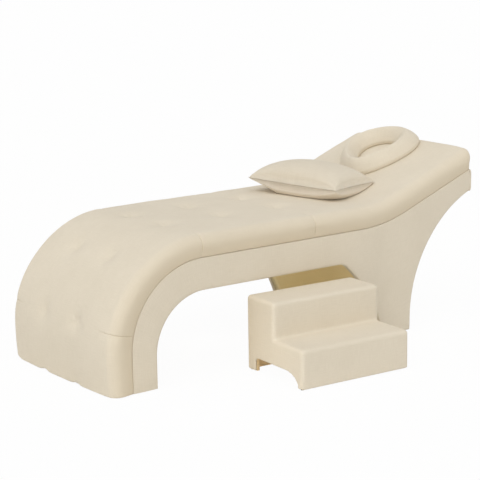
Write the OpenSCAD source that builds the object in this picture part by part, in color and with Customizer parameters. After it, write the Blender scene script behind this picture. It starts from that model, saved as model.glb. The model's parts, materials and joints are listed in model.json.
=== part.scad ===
// Curved spa treatment bed: a tufted mattress on one bent, padded base, with a
// loose pillow, a ring face cushion and a padded two-step stool.
// All sizes are in millimetres. X runs from the foot to the head, Z is up,
// and the viewer's long side is at negative Y.

/* [Bed outline] */
// Width of the bed over its mattress
bed_w = 784; // [740:4:830]
// Height at which the foot end begins to curve back
foot_rise = 155; // [130:5:180]
// Radius of the deck board round the foot end
foot_r = 340; // [325:5:370]
// Length of the almost level deck between foot curve and head bend
lounge_l = 835; // [780:5:900]
// Fall of the level deck towards the head, in degrees
lounge_fall = 0.1; // [0:0.05:1]
// Radius of the bend where the head rises
bend_r = 740; // [680:10:800]
// Slope of the head rest, in degrees
head_slope = 20.3; // [18:0.1:23]
// Length of the straight head rest
head_l = 412; // [402:2:440]

/* [Bed base] */
// Depth of the base band at the foot
foot_band = 115; // [108:1:125]
// Depth of the base band under the level deck
lounge_band = 132; // [125:1:142]
// Radius of the arch under the foot curve
arch_r = 235; // [215:5:250]
// Fall of the arch ceiling towards the head, in degrees
ceiling_fall = 0.4; // [0:0.1:1]
// Distance from the end of the arch ceiling to the head bend
leg_setback = 125; // [105:5:150]
// Radius of the corner between arch ceiling and leg
leg_corner_r = 75; // [60:5:90]
// Steepness of the leg's inner face at its top, in degrees
leg_top_deg = 42; // [38:1:46]
// Steepness of the leg's inner face at the floor, in degrees
leg_foot_deg = 76; // [72:1:80]
// Length of the leg's foot along the floor
leg_foot_w = 155; // [140:5:180]
// Height at which the back of the leg begins to sweep out
leg_rise = 45; // [30:5:65]
// Depth of the base band at the head end
head_band = 97; // [90:1:104]

/* [Bed frame] */
// Thickness of the profile boards
board_t = 18; // [15:1:21]
// Thickness of the bent deck board
deck_t = 6; // [4:1:8]
// Thickness of the bent skins under the arch and behind the leg
skin_t = 4; // [3:0.5:5]
// Thickness of the lining cloth and its wadding
lining_t = 2; // [1.5:0.5:3]
// Thickness of the floor skids
skid_t = 3; // [2:0.5:5]
// Height of a cross rail
rail_w = 60; // [50:2:70]
// Thickness of a cross rail
rail_t = 20; // [16:1:24]
// Height of the small rail at the head end
head_rail_w = 28; // [22:1:32]
// Shank radius of a frame screw
screw_r = 3; // [2.5:0.25:3.5]
// Length of a frame screw
screw_l = 50; // [40:2:60]

/* [Bed padding] */
// Fullest thickness of the side pads
side_pad_t = 26; // [22:1:30]
// Thickness of the side pads at their sewn edge
side_edge_t = 10; // [8:1:12]
// Fullest thickness of the pad behind the leg
back_pad_t = 16; // [12:1:20]
// Fullest thickness of the pad across the head end
head_pad_t = 18; // [14:1:22]

/* [Mattress] */
// Thickness of the mattress along its edges
mattress_t = 97; // [92:1:106]
// Extra fullness of the mattress low on its foot end
front_swell = 12; // [2:1:14]
// Thickness of the foam core
core_t = 60; // [50:1:66]
// Padding between the core's side and the widest part of the mattress
cover_side_t = 40; // [36:1:46]
// Distance that the mattress overhangs the padded sides
mattress_over = 11; // [8:1:14]
// Distance that the mattress side tucks in at the crease
tuck_in = 24; // [20:1:26]
// Radius of the mattress's long top edges
edge_r = 48; // [40:1:52]
// Rise of the mattress's middle above its edges
crown = 8; // [6:0.5:10]
// Spacing of the tuft rows, along the mattress surface
tuft_pitch = 290; // [260:5:300]
// Distance from the floor to the first tuft row, along the surface
first_row = 255; // [240:5:270]
// Distance of the tuft columns from the middle line
tuft_col = 125; // [110:1:140]
// Depth of a tuft
tuft_dip = 12; // [8:1:14]
// Spread of a tuft's dimple
tuft_spread = 32; // [26:1:36]
// Depth of the cross seams
seam_dip = 3; // [2:0.5:5]
// Spread of a cross seam's valley
seam_spread = 10; // [8:1:14]
// Radius of a tuft button
button_r = 11; // [9:0.5:13]
// Thickness of the border sewn across the head end
border_t = 24; // [18:1:26]

/* [Face ring] */
// Half length of the ring along the head rest
ring_half_l = 209; // [200:1:211]
// Half width of the ring across the head rest
ring_half_w = 179; // [170:1:190]
// Height of the ring's dome
ring_h = 66; // [58:1:72]
// Height of the ring's side wall
ring_wall = 18; // [15:1:22]
// Half length of the ring's hole
hole_half_l = 112; // [104:1:118]
// Half width of the ring's hole
hole_half_w = 85; // [78:1:90]
// Distance from the head end back to the ring's centre
ring_back = 207; // [206:1:215]
// Distance of the ring's centre to the far side of the middle line
ring_aside = 27; // [15:1:40]
// Turn of the ring on the head rest, in degrees
ring_turn = 18.7; // [10:0.1:22]
// Share by which the ring widens towards the head
ring_flare = 0.3; // [0.1:0.02:0.34]
// Thickness of the ring's cover with its wadding
ring_cover_t = 5; // [4:0.5:7]

/* [Pillow] */
// Length of the pillow across the bed
pillow_l = 487; // [470:1:510]
// Width of the pillow along the bed
pillow_w = 275; // [250:1:300]
// Fullness of the pillow above its seam
pillow_up = 92; // [84:1:100]
// Height of the pillow's seam above the mattress under its middle
pillow_seam_h = 50; // [46:1:56]
// Distance from the head end back to the pillow's centre
pillow_back = 597; // [585:1:610]
// Distance of the pillow's centre to the far side of the middle line
pillow_y = 17; // [0:1:30]
// Turn of the pillow about a vertical line, in degrees
pillow_turn = 12.3; // [8:0.1:16]
// Thickness of the pillow's cloth
pillow_cloth_t = 1.6; // [1.2:0.1:2]

/* [Stool] */
// Width of the stool
stool_w = 530; // [500:5:550]
// Depth of the stool
stool_d = 390; // [380:2:410]
// Height of the lower step
step_h = 163; // [155:1:172]
// Height of the upper step
stool_h = 312; // [300:1:322]
// Depth of the lower step
step_d = 197; // [185:1:205]
// Thickness of the stool's boards
stool_board_t = 12; // [10:1:15]
// Thickness of the step pads
step_pad_t = 22; // [18:1:26]
// Thickness of the padding round the stool's sides
clad_t = 8; // [6:1:10]
// Height of the arch cut in the stool's sides
stool_arch_h = 57; // [48:1:66]
// Radius of the stool arch's front corner
stool_arch_r = 50; // [42:1:53]
// Length of the stool's front feet along the side
front_foot = 30; // [26:1:40]
// Length of the stool's back feet along the side
back_foot = 62; // [50:1:75]
// Radius of the step pads' edges
step_edge_r = 16; // [12:1:18]
// Thickness of the stool's glides
glide_t = 3; // [2:0.5:4]
// Distance from the foot face to the stool's front left corner
stool_x = 623; // [616:1:638]
// Distance from the bed's middle line to that corner
stool_out = 768; // [760:1:800]
// Turn of the stool about a vertical line, in degrees
stool_turn = -4; // [-6:0.1:-2]

/* [Hidden] */

// Colours
FABRIC = [0.86, 0.81, 0.73];
LINING = [0.60, 0.51, 0.36];
PLY = [0.80, 0.65, 0.44];
TIMBER = [0.74, 0.58, 0.38];
FOAM = [0.93, 0.89, 0.70];
STEEL = [0.62, 0.63, 0.64];
RUBBER = [0.16, 0.16, 0.16];
CORD = [0.90, 0.88, 0.82];

// Clearances
soft_gap = 0.5;
rest_gap = 0.9;
seat_gap = 0.3;
hole_gap = 0.15;
overrun = 2;

// Facets along the curves
foot_segs = 18;
bend_segs = 7;
level_segs = 6;
corner_segs = 4;
leg_segs = 6;
back_segs = 10;
foot_edge_segs = 5;

// Small hardware
screw_head_r = screw_r * 5 / 3;
screw_head_t = screw_r;
anchor_r = button_r * 1.3;
anchor_t = skin_t / 2;
twine_r = 1.5;
twine_hole_r = 2.5;
shank_r = button_r / 5;
button_h = button_r / 2;
round_fn = 32;

// Half widths
half = bed_w / 2;
frame_half = half - mattress_over - side_pad_t;
core_half = half - cover_side_t;
board_in = frame_half - board_t;

// The crease between mattress and base, as lengths along it from the floor
crease_x = mattress_t;
foot_c = [crease_x + foot_r, foot_rise];
level_p = foot_c + foot_r * [sin(lounge_fall), cos(lounge_fall)];
bend_p = level_p + lounge_l * [cos(lounge_fall), -sin(lounge_fall)];
bend_c = bend_p + bend_r * [sin(lounge_fall), cos(lounge_fall)];
rise_p = bend_c + bend_r * [sin(head_slope), -cos(head_slope)];
head_end = rise_p + head_l * [cos(head_slope), sin(head_slope)];
head_x = head_end[0];
foot_len = foot_rise - skid_t;
curve_len = foot_r * (90 + lounge_fall) * PI / 180;
bend_len = bend_r * (head_slope + lounge_fall) * PI / 180;
s_curve = foot_len + curve_len;
s_level = s_curve + lounge_l;
s_bend = s_level + bend_len;
s_end = s_bend + head_l;
head_blend = mattress_t * 1.5;

// The part's origin lies on the floor, in the middle of the foot skid
origin_x = crease_x + foot_band / 2;

// Place and heading of the crease at length s from the floor
function turned(length, radius) = length / radius * 180 / PI;
function crease_heading(s) =
    s < foot_len ? 90
    : s < s_curve ? 90 - turned(s - foot_len, foot_r)
    : s < s_level ? -lounge_fall
    : s < s_bend ? turned(s - s_level, bend_r) - lounge_fall
    : head_slope;
function left_of(a) = [-sin(a), cos(a)];
function along(a) = [cos(a), sin(a)];
function crease_point(s) =
    s < foot_len ? [crease_x, skid_t + s]
    : s < s_curve ? foot_c + foot_r * left_of(crease_heading(s))
    : s < s_level ? level_p + (s - s_curve) * along(-lounge_fall)
    : s < s_bend ? bend_c - bend_r * left_of(crease_heading(s))
    : rise_p + (s - s_bend) * along(head_slope);
// A layer's upright swings from square to vertical over the last stretch
function lean(s) = head_slope * max(0, s - s_end + head_blend) / head_blend;
function layer(s, d) =
    crease_point(s) + d / cos(lean(s)) * left_of(crease_heading(s) - lean(s));

function steps(a, b, n) = [for (i = [1:n]) a + (b - a) * i / n];
function reversed(p) = [for (i = [len(p) - 1:-1:0]) p[i]];
stations = concat([0, foot_len], steps(foot_len, s_curve, foot_segs),
    steps(s_curve, s_level, level_segs), steps(s_level, s_bend, bend_segs),
    [s_end - head_blend], steps(s_end - head_blend, s_end, corner_segs));
function crease_path(d, last = s_end) =
    concat([for (s = stations) if (s < last) layer(s, d)], [layer(last, d)]);

// The arch under the bed, d into the base from its surface
arch_c = [crease_x + foot_band + arch_r, foot_rise + foot_r - lounge_band - arch_r];
ceiling_p = arch_c + arch_r * left_of(-ceiling_fall);
ceiling_len = (bend_p[0] - leg_setback - ceiling_p[0]) / cos(ceiling_fall);
corner_p = ceiling_p + ceiling_len * along(-ceiling_fall);
corner_c = corner_p - leg_corner_r * left_of(-ceiling_fall);
leg_p = corner_c + leg_corner_r * left_of(-leg_top_deg);
leg_r = (leg_p[1] - skid_t) / (cos(leg_top_deg) - cos(leg_foot_deg));
leg_c = leg_p - leg_r * left_of(-leg_top_deg);
leg_in_x = leg_c[0] + leg_r * sin(leg_foot_deg);
function leg_drop(d) = [leg_in_x + d / sin(leg_foot_deg), skid_t];
function arch_path(d) = concat(
    [[arch_c[0] - arch_r - d, skid_t]],
    [for (a = concat([90], steps(90, -ceiling_fall, foot_segs)))
        arch_c + (arch_r + d) * left_of(a)],
    [for (l = steps(0, ceiling_len, level_segs))
        ceiling_p + l * along(-ceiling_fall) + d * left_of(-ceiling_fall)],
    [for (a = steps(-ceiling_fall, -leg_top_deg, corner_segs))
        corner_c + (leg_corner_r + d) * left_of(a)],
    [for (a = steps(-leg_top_deg, -leg_foot_deg, leg_segs)) if (d == 0 || a > -leg_foot_deg)
        leg_c + (leg_r + d) * left_of(a)],
    d == 0 ? [] : [leg_drop(d)]);

// The back of the leg, d into the base from its surface
leg_back_x = leg_in_x + leg_foot_w;
head_low = head_end[1] - head_band;
back_run = head_x - leg_back_x;
back_climb = head_low - leg_rise;
back_r = (back_run * back_run + back_climb * back_climb) / (2 * back_run);
back_c = [leg_back_x + back_r, leg_rise];
back_end_a = atan2(back_r - back_run, back_climb);
back_angles = concat([90], steps(90, back_end_a, back_segs));
function back_arc(d) = [for (a = back_angles) back_c + (back_r + d) * left_of(a)];
function back_path(d) = concat([[leg_back_x - d, skid_t]], back_arc(d),
    d == 0 ? [] : [[head_x, head_low + d / cos(back_end_a)]]);

// Solid between two long planes, from an outline of length and height
module between(outline, y0, y1) {
    translate([0, y1, 0]) rotate([90, 0, 0]) linear_extrude(y1 - y0) polygon(outline);
}
module at_origin() {
    translate([-origin_x, 0, 0]) children();
}

// Closed skin over a row of rings, each with as many points as the next. The
// ends are closed by cap faces, given as lists of places in a ring.
function whole_cap(n) = [[for (i = [0:n - 1]) i]];
module swept(rings, closed = false, cap = []) {
    n = len(rings[0]);
    m = len(rings);
    points = [for (ring = rings) each ring];
    sides = [
        for (k = [0:m - (closed ? 1 : 2)], i = [0:n - 1])
            let (a = k * n, b = (k + 1) % m * n, j = (i + 1) % n)
                each [[a + i, b + i, b + j], [a + i, b + j, a + j]]
    ];
    faces = len(cap) > 0 ? cap : whole_cap(n);
    ends = concat(faces, [for (f = faces) [for (i = reversed(f)) (m - 1) * n + i]]);
    polyhedron(points, closed ? sides : concat(sides, ends));
}

// Timber frame
base_d = skin_t + lining_t;
leg_back_d = skin_t + back_pad_t;
profile = concat(crease_path(-deck_t), reversed(back_path(leg_back_d)),
    reversed(arch_path(base_d)));

// Cross rails: centre, turn and height of each one's section
rail_sink = deck_t + 2 * seat_gap;
function rail_at(s, w) = [layer(s, -rail_sink - w / 2), crease_heading(s), w];
curve_rail_share = 0.42;
foot_rail_share = 0.35;
level_rail_shares = [0.12, 0.5, 0.88];
foot_rail_list = [
    rail_at(foot_len * foot_rail_share, rail_w),
    rail_at(foot_len + curve_len * curve_rail_share, rail_w)
];
band_rail_list = [for (k = level_rail_shares) rail_at(s_curve + lounge_l * k, rail_w)];
leg_rail_z = skid_t + rail_w / 2 + seat_gap;
leg_rail_list = [
    [[leg_in_x + base_d + rail_t, leg_rail_z], 0, rail_w],
    [[leg_back_x - leg_back_d - rail_t, leg_rail_z], 0, rail_w]
];
head_rail_list = [rail_at(s_end - rail_t * 1.5, head_rail_w)];
all_rails = concat(foot_rail_list, band_rail_list, leg_rail_list, head_rail_list);

module rail_section(r, grow = 0) {
    translate(r[0]) rotate(r[1]) square([rail_t + 2 * grow, r[2] + 2 * grow], center = true);
}
module rail(r, grow = 0, reach = board_in) {
    translate([0, reach, 0]) rotate([90, 0, 0]) linear_extrude(2 * reach) rail_section(r, grow);
}
function screw_spots(r) = [for (k = [-1, 1]) r[0] + k * r[2] / 4 * left_of(r[1])];

// One screw, with its head at the outer face of a side board
module screw(side, grow = 0) {
    rotate([side * 90, 0, 0]) {
        translate([0, 0, -frame_half]) cylinder(h = screw_l + grow, r = screw_r + grow, $fn = round_fn);
        translate([0, 0, -frame_half - grow])
            cylinder(h = screw_head_t + grow, r = screw_head_r + grow, $fn = round_fn);
    }
}
module side_screws(rails, side, grow = 0) {
    for (r = rails, spot = screw_spots(r))
        translate([spot[0], 0, spot[1]]) screw(side, grow);
}
module side_board(side) {
    color(PLY) difference() {
        between(profile, side > 0 ? board_in : -frame_half, side > 0 ? frame_half : -board_in);
        side_screws(all_rails, side, hole_gap);
    }
}
module rails(list) {
    color(TIMBER) difference() {
        for (r = list) rail(r);
        side_screws(list, 1, hole_gap);
        side_screws(list, -1, hole_gap);
    }
}
module near_side_board() {
    at_origin() side_board(-1);
}
module far_side_board() {
    at_origin() side_board(1);
}
module centre_rib() {
    at_origin() color(PLY) difference() {
        between(profile, -board_t / 2, board_t / 2);
        for (r = all_rails) rail(r, seat_gap);
    }
}
module foot_rails() {
    at_origin() rails(foot_rail_list);
}
module band_rails() {
    at_origin() rails(band_rail_list);
}
module leg_rails() {
    at_origin() rails(leg_rail_list);
}
module head_rail() {
    at_origin() rails(head_rail_list);
}
module frame_screws() {
    at_origin() color(STEEL) {
        side_screws(all_rails, 1);
        side_screws(all_rails, -1);
    }
}

// Length along the crease, from length along the mattress's outer surface
outer_r = foot_r + mattress_t;
outer_curve = curve_len * outer_r / foot_r;
function crease_s(o) =
    o < foot_len ? o
    : o < foot_len + outer_curve ? foot_len + (o - foot_len) * foot_r / outer_r
    : o - outer_curve + curve_len;
function surface_o(s) =
    s < foot_len ? s
    : s < s_curve ? foot_len + (s - foot_len) * outer_r / foot_r
    : s - curve_len + outer_curve;
row_count = 5;
rows = [for (i = [0:row_count - 1]) first_row - skid_t + i * tuft_pitch];
seams = [rows[0], rows[2], rows[4]];

// Hardware that stands square on the deck at each tuft
module at_tufts() {
    for (o = rows, side = [-1, 1]) {
        s = crease_s(o);
        p = crease_point(s);
        translate([p[0], side * tuft_col, p[1]]) rotate([0, -crease_heading(s), 0]) children();
    }
}
module twine_holes() {
    at_tufts() translate([0, 0, -deck_t - overrun])
        cylinder(h = deck_t + core_t + 2 * overrun, r = twine_hole_r, $fn = round_fn);
}
module deck_board() {
    at_origin() color(PLY) difference() {
        between(concat(crease_path(0), reversed(crease_path(-deck_t))), -frame_half, frame_half);
        twine_holes();
    }
}
module arch_skin() {
    at_origin() color(PLY)
        between(concat(arch_path(base_d), reversed(arch_path(lining_t))), -frame_half, frame_half);
}
module arch_lining() {
    at_origin() color(LINING)
        between(concat(arch_path(lining_t), reversed(arch_path(0))), -frame_half, frame_half);
}
module leg_back_skin() {
    at_origin() color(PLY)
        between(concat(back_path(leg_back_d), reversed(back_path(back_pad_t))),
            -frame_half, frame_half);
}

// Floor skids
skid_in = board_t / 2;
foot_skid_l = foot_band - 2 * skid_in;
module skid(x0, length) {
    color(RUBBER) translate([x0, -frame_half + skid_in, 0])
        cube([length, 2 * (frame_half - skid_in), skid_t]);
}
module foot_skid() {
    at_origin() skid(crease_x + skid_in, foot_skid_l);
}
module leg_skid() {
    at_origin() skid(leg_in_x + base_d + skid_in, leg_foot_w - base_d - leg_back_d - 2 * skid_in);
}

// Padded sides: a domed skin between the crease and the lower edge of the base
pad_round = side_pad_t * 2.2;
edge_shares = [0, 0.28, 0.95];
widest_share = 0.45;
leg_lead = leg_corner_r / 4;
leg_front_share = 0.3;
leg_back_share = 0.5;
s_ceiling = s_curve + (corner_p[0] - level_p[0]) / cos(lounge_fall) + leg_lead;
s_leg_front = s_ceiling + (s_end - s_ceiling) * leg_front_share;
s_leg_back = s_ceiling + (s_end - s_ceiling) * leg_back_share;
foot_points = [for (x = steps(leg_in_x, leg_back_x, foot_edge_segs)) if (x < leg_back_x) [x, skid_t]];
lower_edge = concat(arch_path(0), foot_points, back_path(0));
upper_s = concat([0, foot_len], steps(foot_len, s_curve, foot_segs),
    steps(s_curve, s_ceiling, level_segs),
    steps(s_ceiling, s_leg_front, corner_segs + leg_segs),
    steps(s_leg_front, s_leg_back, foot_edge_segs),
    steps(s_leg_back, s_end, back_segs + 1));
function pad_t(d) =
    side_edge_t + (side_pad_t - side_edge_t) * sqrt(1 - pow(1 - min(d / pad_round, 1), 2));
function side_ring(a, b) =
    let (
        span = norm(b - a),
        dir = (b - a) / span,
        deep = [for (k = edge_shares) min(k * pad_round, widest_share * span)]
    )
    concat(
        [for (d = deep) let (p = a + d * dir) [p[0], frame_half + pad_t(d), p[1]]],
        [for (d = reversed(deep)) let (p = b - d * dir) [p[0], frame_half + pad_t(d), p[1]]],
        [[b[0], frame_half, b[1]], [a[0], frame_half, a[1]]]);
module side_pad() {
    color(FABRIC)
        swept([for (i = [len(lower_edge) - 1:-1:0]) side_ring(layer(upper_s[i], 0), lower_edge[i])]);
}
module far_side_pad() {
    at_origin() side_pad();
}
module near_side_pad() {
    at_origin() mirror([0, 1, 0]) side_pad();
}

// Pad behind the leg and across the head end, domed towards its edges
across_shares = [-1, -0.96, -0.88, 0, 0.88, 0.96, 1];
dome_shares = [0.45, 0.78, 1, 1, 1, 0.78, 0.45];
module leg_back_pad() {
    y = frame_half - soft_gap;
    arcs = [for (k = dome_shares) back_arc(back_pad_t * (1 - k))];
    inner = back_arc(back_pad_t - soft_gap);
    rings = [for (i = [0:len(inner) - 1]) concat(
        [for (j = [0:len(dome_shares) - 1]) [arcs[j][i][0], y * across_shares[j], arcs[j][i][1]]],
        [[inner[i][0], y, inner[i][1]], [inner[i][0], -y, inner[i][1]]])];
    foot = [for (p = rings[0]) [p[0], p[1], skid_t]];
    at_origin() color(FABRIC) swept(concat([foot], rings));
}
head_pad_rise_shares = [0, 0.06, 0.25, 0.6, 0.88, 1];
head_pad_out_shares = [0.3, 0.62, 0.95, 1, 0.75, 0.2];
module head_end_pad() {
    rings = [for (j = [0:len(across_shares) - 1]) let (y = (half - tuck_in / 2) * across_shares[j])
        concat(
            [for (i = [0:len(head_pad_rise_shares) - 1]) [
                head_x + soft_gap + head_pad_t * head_pad_out_shares[i] * dome_shares[j], y,
                head_low + head_band * head_pad_rise_shares[i]]],
            [[head_x + soft_gap, y, head_end[1]], [head_x + soft_gap, y, head_low]])];
    at_origin() color(FABRIC) swept(reversed(rings));
}

// Mattress: foam core under four quilted panels and a border
core_end = s_end - border_t - soft_gap;
module mattress_core() {
    at_origin() color(FOAM) difference() {
        between(concat(crease_path(core_t, core_end), reversed(crease_path(seat_gap, core_end))),
            -core_half, core_half);
        twine_holes();
    }
}
function hollow(x, spread) = exp(-x * x / (2 * spread * spread));
function seam_valley(o) = max([for (q = seams) hollow(o - q, seam_spread)]);
function tuft_valley(o, y) =
    max([for (q = rows) hollow(norm([o - q, abs(y) - tuft_col]), tuft_spread)]);
// Thickness along the edges, fuller low on the foot end
swell_o = 190;
swell_spread = 160;
function edge_t(o) = mattress_t + front_swell * hollow(o - swell_o, swell_spread);
function top_h(o, y) =
    edge_t(o) + crown * (1 - pow(y / half, 2)) - seam_dip * seam_valley(o)
    - tuft_dip * tuft_valley(o, y);
top_ys = [half - edge_r, tuft_col + 2 * tuft_spread,
    tuft_col + tuft_spread, tuft_col, tuft_col - tuft_spread, 0];
tuck_share = 0.3;
belly_share = 0.2;
// Half of a cross-section, as distance from the middle line and height
function edge_half(o, shrink) =
    let (pinch = seam_dip * tuck_share * seam_valley(o), w = half - pinch - shrink)
    concat(
        [[half - tuck_in - shrink, soft_gap],
            [w - tuck_in * tuck_share, mattress_t * belly_share],
            [w, edge_t(o) - edge_r]],
        [for (a = [30, 60])
            [w - edge_r * (1 - cos(a)), edge_t(o) - edge_r + edge_r * sin(a) - shrink]]);
function top_half(o, shrink) = [for (y = top_ys) [y - (y > 0 ? shrink : 0), top_h(o, y) - shrink]];
function outer_section(o, shrink = 0) =
    let (half_line = concat(edge_half(o, shrink), top_half(o, shrink)), n = len(half_line))
    concat(half_line, [for (i = [n - 2:-1:0]) [-half_line[i][0], half_line[i][1]]]);
function standing(s, section) =
    [for (q = section) let (p = layer(s, q[1])) [p[0], q[0], p[1]]];
core_in = core_half + soft_gap;
cover_in_half = [[core_in, soft_gap], [core_in, core_t + soft_gap], [tuft_col, core_t + soft_gap]];
cover_in_section = concat([for (q = cover_in_half) [-q[0], q[1]]], reversed(cover_in_half));
// Faces that close a panel's end: each inner point, from the right, takes the
// run of outer points that lies opposite it
outer_n = 2 * (len(top_ys) + 5) - 1;
outer_runs = [0, 1, 5, 10, 15, 19, 20];
inner_order = [5, 4, 3, 2, 1, 0];
panel_cap = concat(
    [for (k = [0:5], i = [outer_runs[k]:outer_runs[k + 1] - 1]) [i, i + 1, outer_n + inner_order[k]]],
    [for (k = [0:4]) [outer_runs[k + 1], outer_n + inner_order[k + 1], outer_n + inner_order[k]]]);
seam_steps = [0, seam_spread * 0.7, seam_spread * 2];
function panel_lengths(a, b, n) =
    concat([for (d = seam_steps) a + d],
        [for (i = [1:n - 1]) let (o = a + (b - a) * i / n)
            if (o > a + seam_steps[2] * 1.2 && o < b - seam_steps[2] * 1.2) o],
        [for (d = reversed(seam_steps)) b - d]);
module panel(a, b, n) {
    color(FABRIC) swept([for (o = panel_lengths(a, b, n))
        standing(crease_s(o), concat(outer_section(o), cover_in_section))], cap = panel_cap);
}
seam_gap = soft_gap / 2;
panel_end = surface_o(core_end);
foot_panel_segs = 8;
curve_panel_segs = 18;
lounge_panel_segs = 12;
head_panel_segs = 17;
module mattress_foot_panel() {
    at_origin() panel(0, seams[0] - seam_gap, foot_panel_segs);
}
module mattress_curve_panel() {
    at_origin() panel(seams[0] + seam_gap, seams[1] - seam_gap, curve_panel_segs);
}
module mattress_lounge_panel() {
    at_origin() panel(seams[1] + seam_gap, seams[2] - seam_gap, lounge_panel_segs);
}
module mattress_head_panel() {
    at_origin() panel(seams[2] + seam_gap, panel_end, head_panel_segs);
}
border_steps = [0, border_t * 0.6, border_t * 0.9, border_t];
border_in_shares = [0, 0.2, 0.56, 0.8];
module mattress_head_border() {
    start = s_end - border_t;
    at_origin() color(FABRIC) swept([for (i = [0:len(border_steps) - 1])
        standing(start + border_steps[i],
            outer_section(surface_o(start), border_t * border_in_shares[i]))]);
}

// Tuft buttons, their twines and the washers that hold them under the deck
shank_gap = soft_gap + seat_gap;
button_lift_share = 1.9;
anchor_gap = anchor_r * anchor_r / foot_r / 2 + soft_gap;
dome_r = (button_r * button_r + button_h * button_h) / (2 * button_h);
module tuft_buttons() {
    at_origin() color(FABRIC) for (o = rows, side = [-1, 1]) {
        s = crease_s(o);
        low = top_h(o, tuft_col);
        p = layer(s, low + shank_gap);
        lift = top_h(o + button_r * button_lift_share, tuft_col + button_r) - low;
        translate([p[0], side * tuft_col, p[1]]) rotate([0, -crease_heading(s), 0]) {
            cylinder(h = lift + button_h / 2, r = shank_r, $fn = round_fn);
            translate([0, 0, lift]) rotate_extrude($fn = round_fn) intersection() {
                translate([0, button_h - dome_r]) circle(r = dome_r, $fn = 3 * round_fn);
                square([button_r, button_h]);
            }
        }
    }
}
module tuft_twines() {
    at_origin() color(CORD) at_tufts() translate([0, 0, -deck_t - anchor_gap])
        cylinder(h = deck_t + anchor_gap + core_t, r = twine_r, $fn = round_fn);
}
module tuft_anchors() {
    at_origin() color(STEEL) at_tufts() translate([0, 0, -deck_t - anchor_t - anchor_gap])
        cylinder(h = anchor_t, r = anchor_r, $fn = round_fn);
}

// Ring face cushion, lying on the head rest
ring_segs = 26;
rest_o = head_end + [0, mattress_t / cos(head_slope)];
// A point of the ring: length along the head rest, place across it, height over it
function on_rest(l, y, h) =
    let (p = rest_o + l * along(head_slope) + h * left_of(head_slope)) [p[0], y, p[1]];
function rest_crown(y) = crown * (1 - pow(y / half, 2)) + seat_gap;
// A section point at share v from the hole's edge to the outer edge
function ring_point(a, v, h) =
    let (
        l = (hole_half_l + (ring_half_l - hole_half_l) * v) * cos(a),
        w = (hole_half_w + (ring_half_w - hole_half_w) * v) * sin(a) * (1 + ring_flare * cos(a)),
        y = ring_aside + l * sin(ring_turn) + w * cos(ring_turn)
    ) on_rest(l * cos(ring_turn) - w * sin(ring_turn) - ring_back, y, rest_crown(y) + h);
module ring_solid(section) {
    swept([for (k = [0:ring_segs - 1])
        [for (q = section) ring_point(k * 360 / ring_segs, q[0], q[1])]], closed = true);
}
dome_v_shares = [0.015, 0.1, 0.28, 0.5, 0.72, 0.9, 0.985];
function dome_h(v) = ring_wall + (ring_h - ring_wall) * (1 - pow(abs(2 * v - 1), 1.5));
ring_base_t = ring_cover_t / 2;
wall_share = ring_cover_t / (ring_half_w - hole_half_w);
foam_v_shares = [wall_share, 0.3, 0.5, 0.7, 1 - wall_share];
module ring_cover() {
    bottom = ring_base_t + seat_gap;
    at_origin() color(FABRIC) ring_solid(concat(
        [[0, bottom]], [for (v = dome_v_shares) [v, dome_h(v)]], [[1, bottom]],
        [[1 - wall_share, bottom]],
        [for (v = reversed(foam_v_shares)) [v, dome_h(v) - ring_cover_t]],
        [[wall_share, bottom]]));
}
module ring_foam() {
    bottom = ring_base_t + seat_gap;
    inset_share = wall_share * 1.2;
    at_origin() color(FOAM) ring_solid(concat(
        [[inset_share, bottom]],
        [for (v = foam_v_shares) [min(max(v, inset_share), 1 - inset_share),
            dome_h(v) - ring_cover_t - soft_gap]],
        [[1 - inset_share, bottom]]));
}
module ring_base() {
    at_origin() color(FABRIC) ring_solid([[0, 0], [0, ring_base_t], [1, ring_base_t], [1, 0]]);
}

// Pillow, two cloth panels sewn at mid height round a loose filling
pillow_nu = 10;
pillow_nv = 7;
pillow_x = head_x - pillow_back;
corner_pull = 0.04;
fullness_power = 0.34;
rest_line = [for (i = [0:ring_segs]) layer(s_level - lounge_l / 4 + (s_end - s_level) * i / ring_segs,
    mattress_t)];
function rest_z(x, y) = lookup(x, rest_line) + crown * (1 - pow(y / half, 2)) + rest_gap;
pillow_seam_z = rest_z(pillow_x, pillow_y) + pillow_seam_h;
function pillow_full(u, v) = pow((1 - u * u) * (1 - v * v), fullness_power);
function pillow_xy(u, v) =
    let (
        a = v * pillow_w / 2 * (1 - corner_pull * (1 - u * u)),
        b = u * pillow_l / 2 * (1 - corner_pull * (1 - v * v))
    )
    [pillow_x + a * cos(pillow_turn) - b * sin(pillow_turn),
        pillow_y + a * sin(pillow_turn) + b * cos(pillow_turn)];
// A point of the pillow: side 1 is above the seam, side -1 below it. Share full of
// its fullness is taken, then the cloth is added, and the mattress holds it up.
function pillow_point(u, v, side, full, cloth, margin) =
    let (
        p = pillow_xy(u, v),
        swell = (side > 0 ? pillow_up : pillow_seam_h * under_share) * pillow_full(u, v)
    )
    [p[0], p[1], max(pillow_seam_z + side * (swell * full + cloth), rest_z(p[0], p[1]) + margin)];
function spread_share(i, n) = sin(90 * (2 * i / n - 1));
// A grid of such points, without the outermost rows when trim is 1
function pillow_sheet(side, full, cloth, margin, trim = 0) = [
    for (i = [trim:pillow_nu - trim], j = [trim:pillow_nv - trim])
        pillow_point(spread_share(i, pillow_nu), spread_share(j, pillow_nv), side, full, cloth, margin)
];
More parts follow.
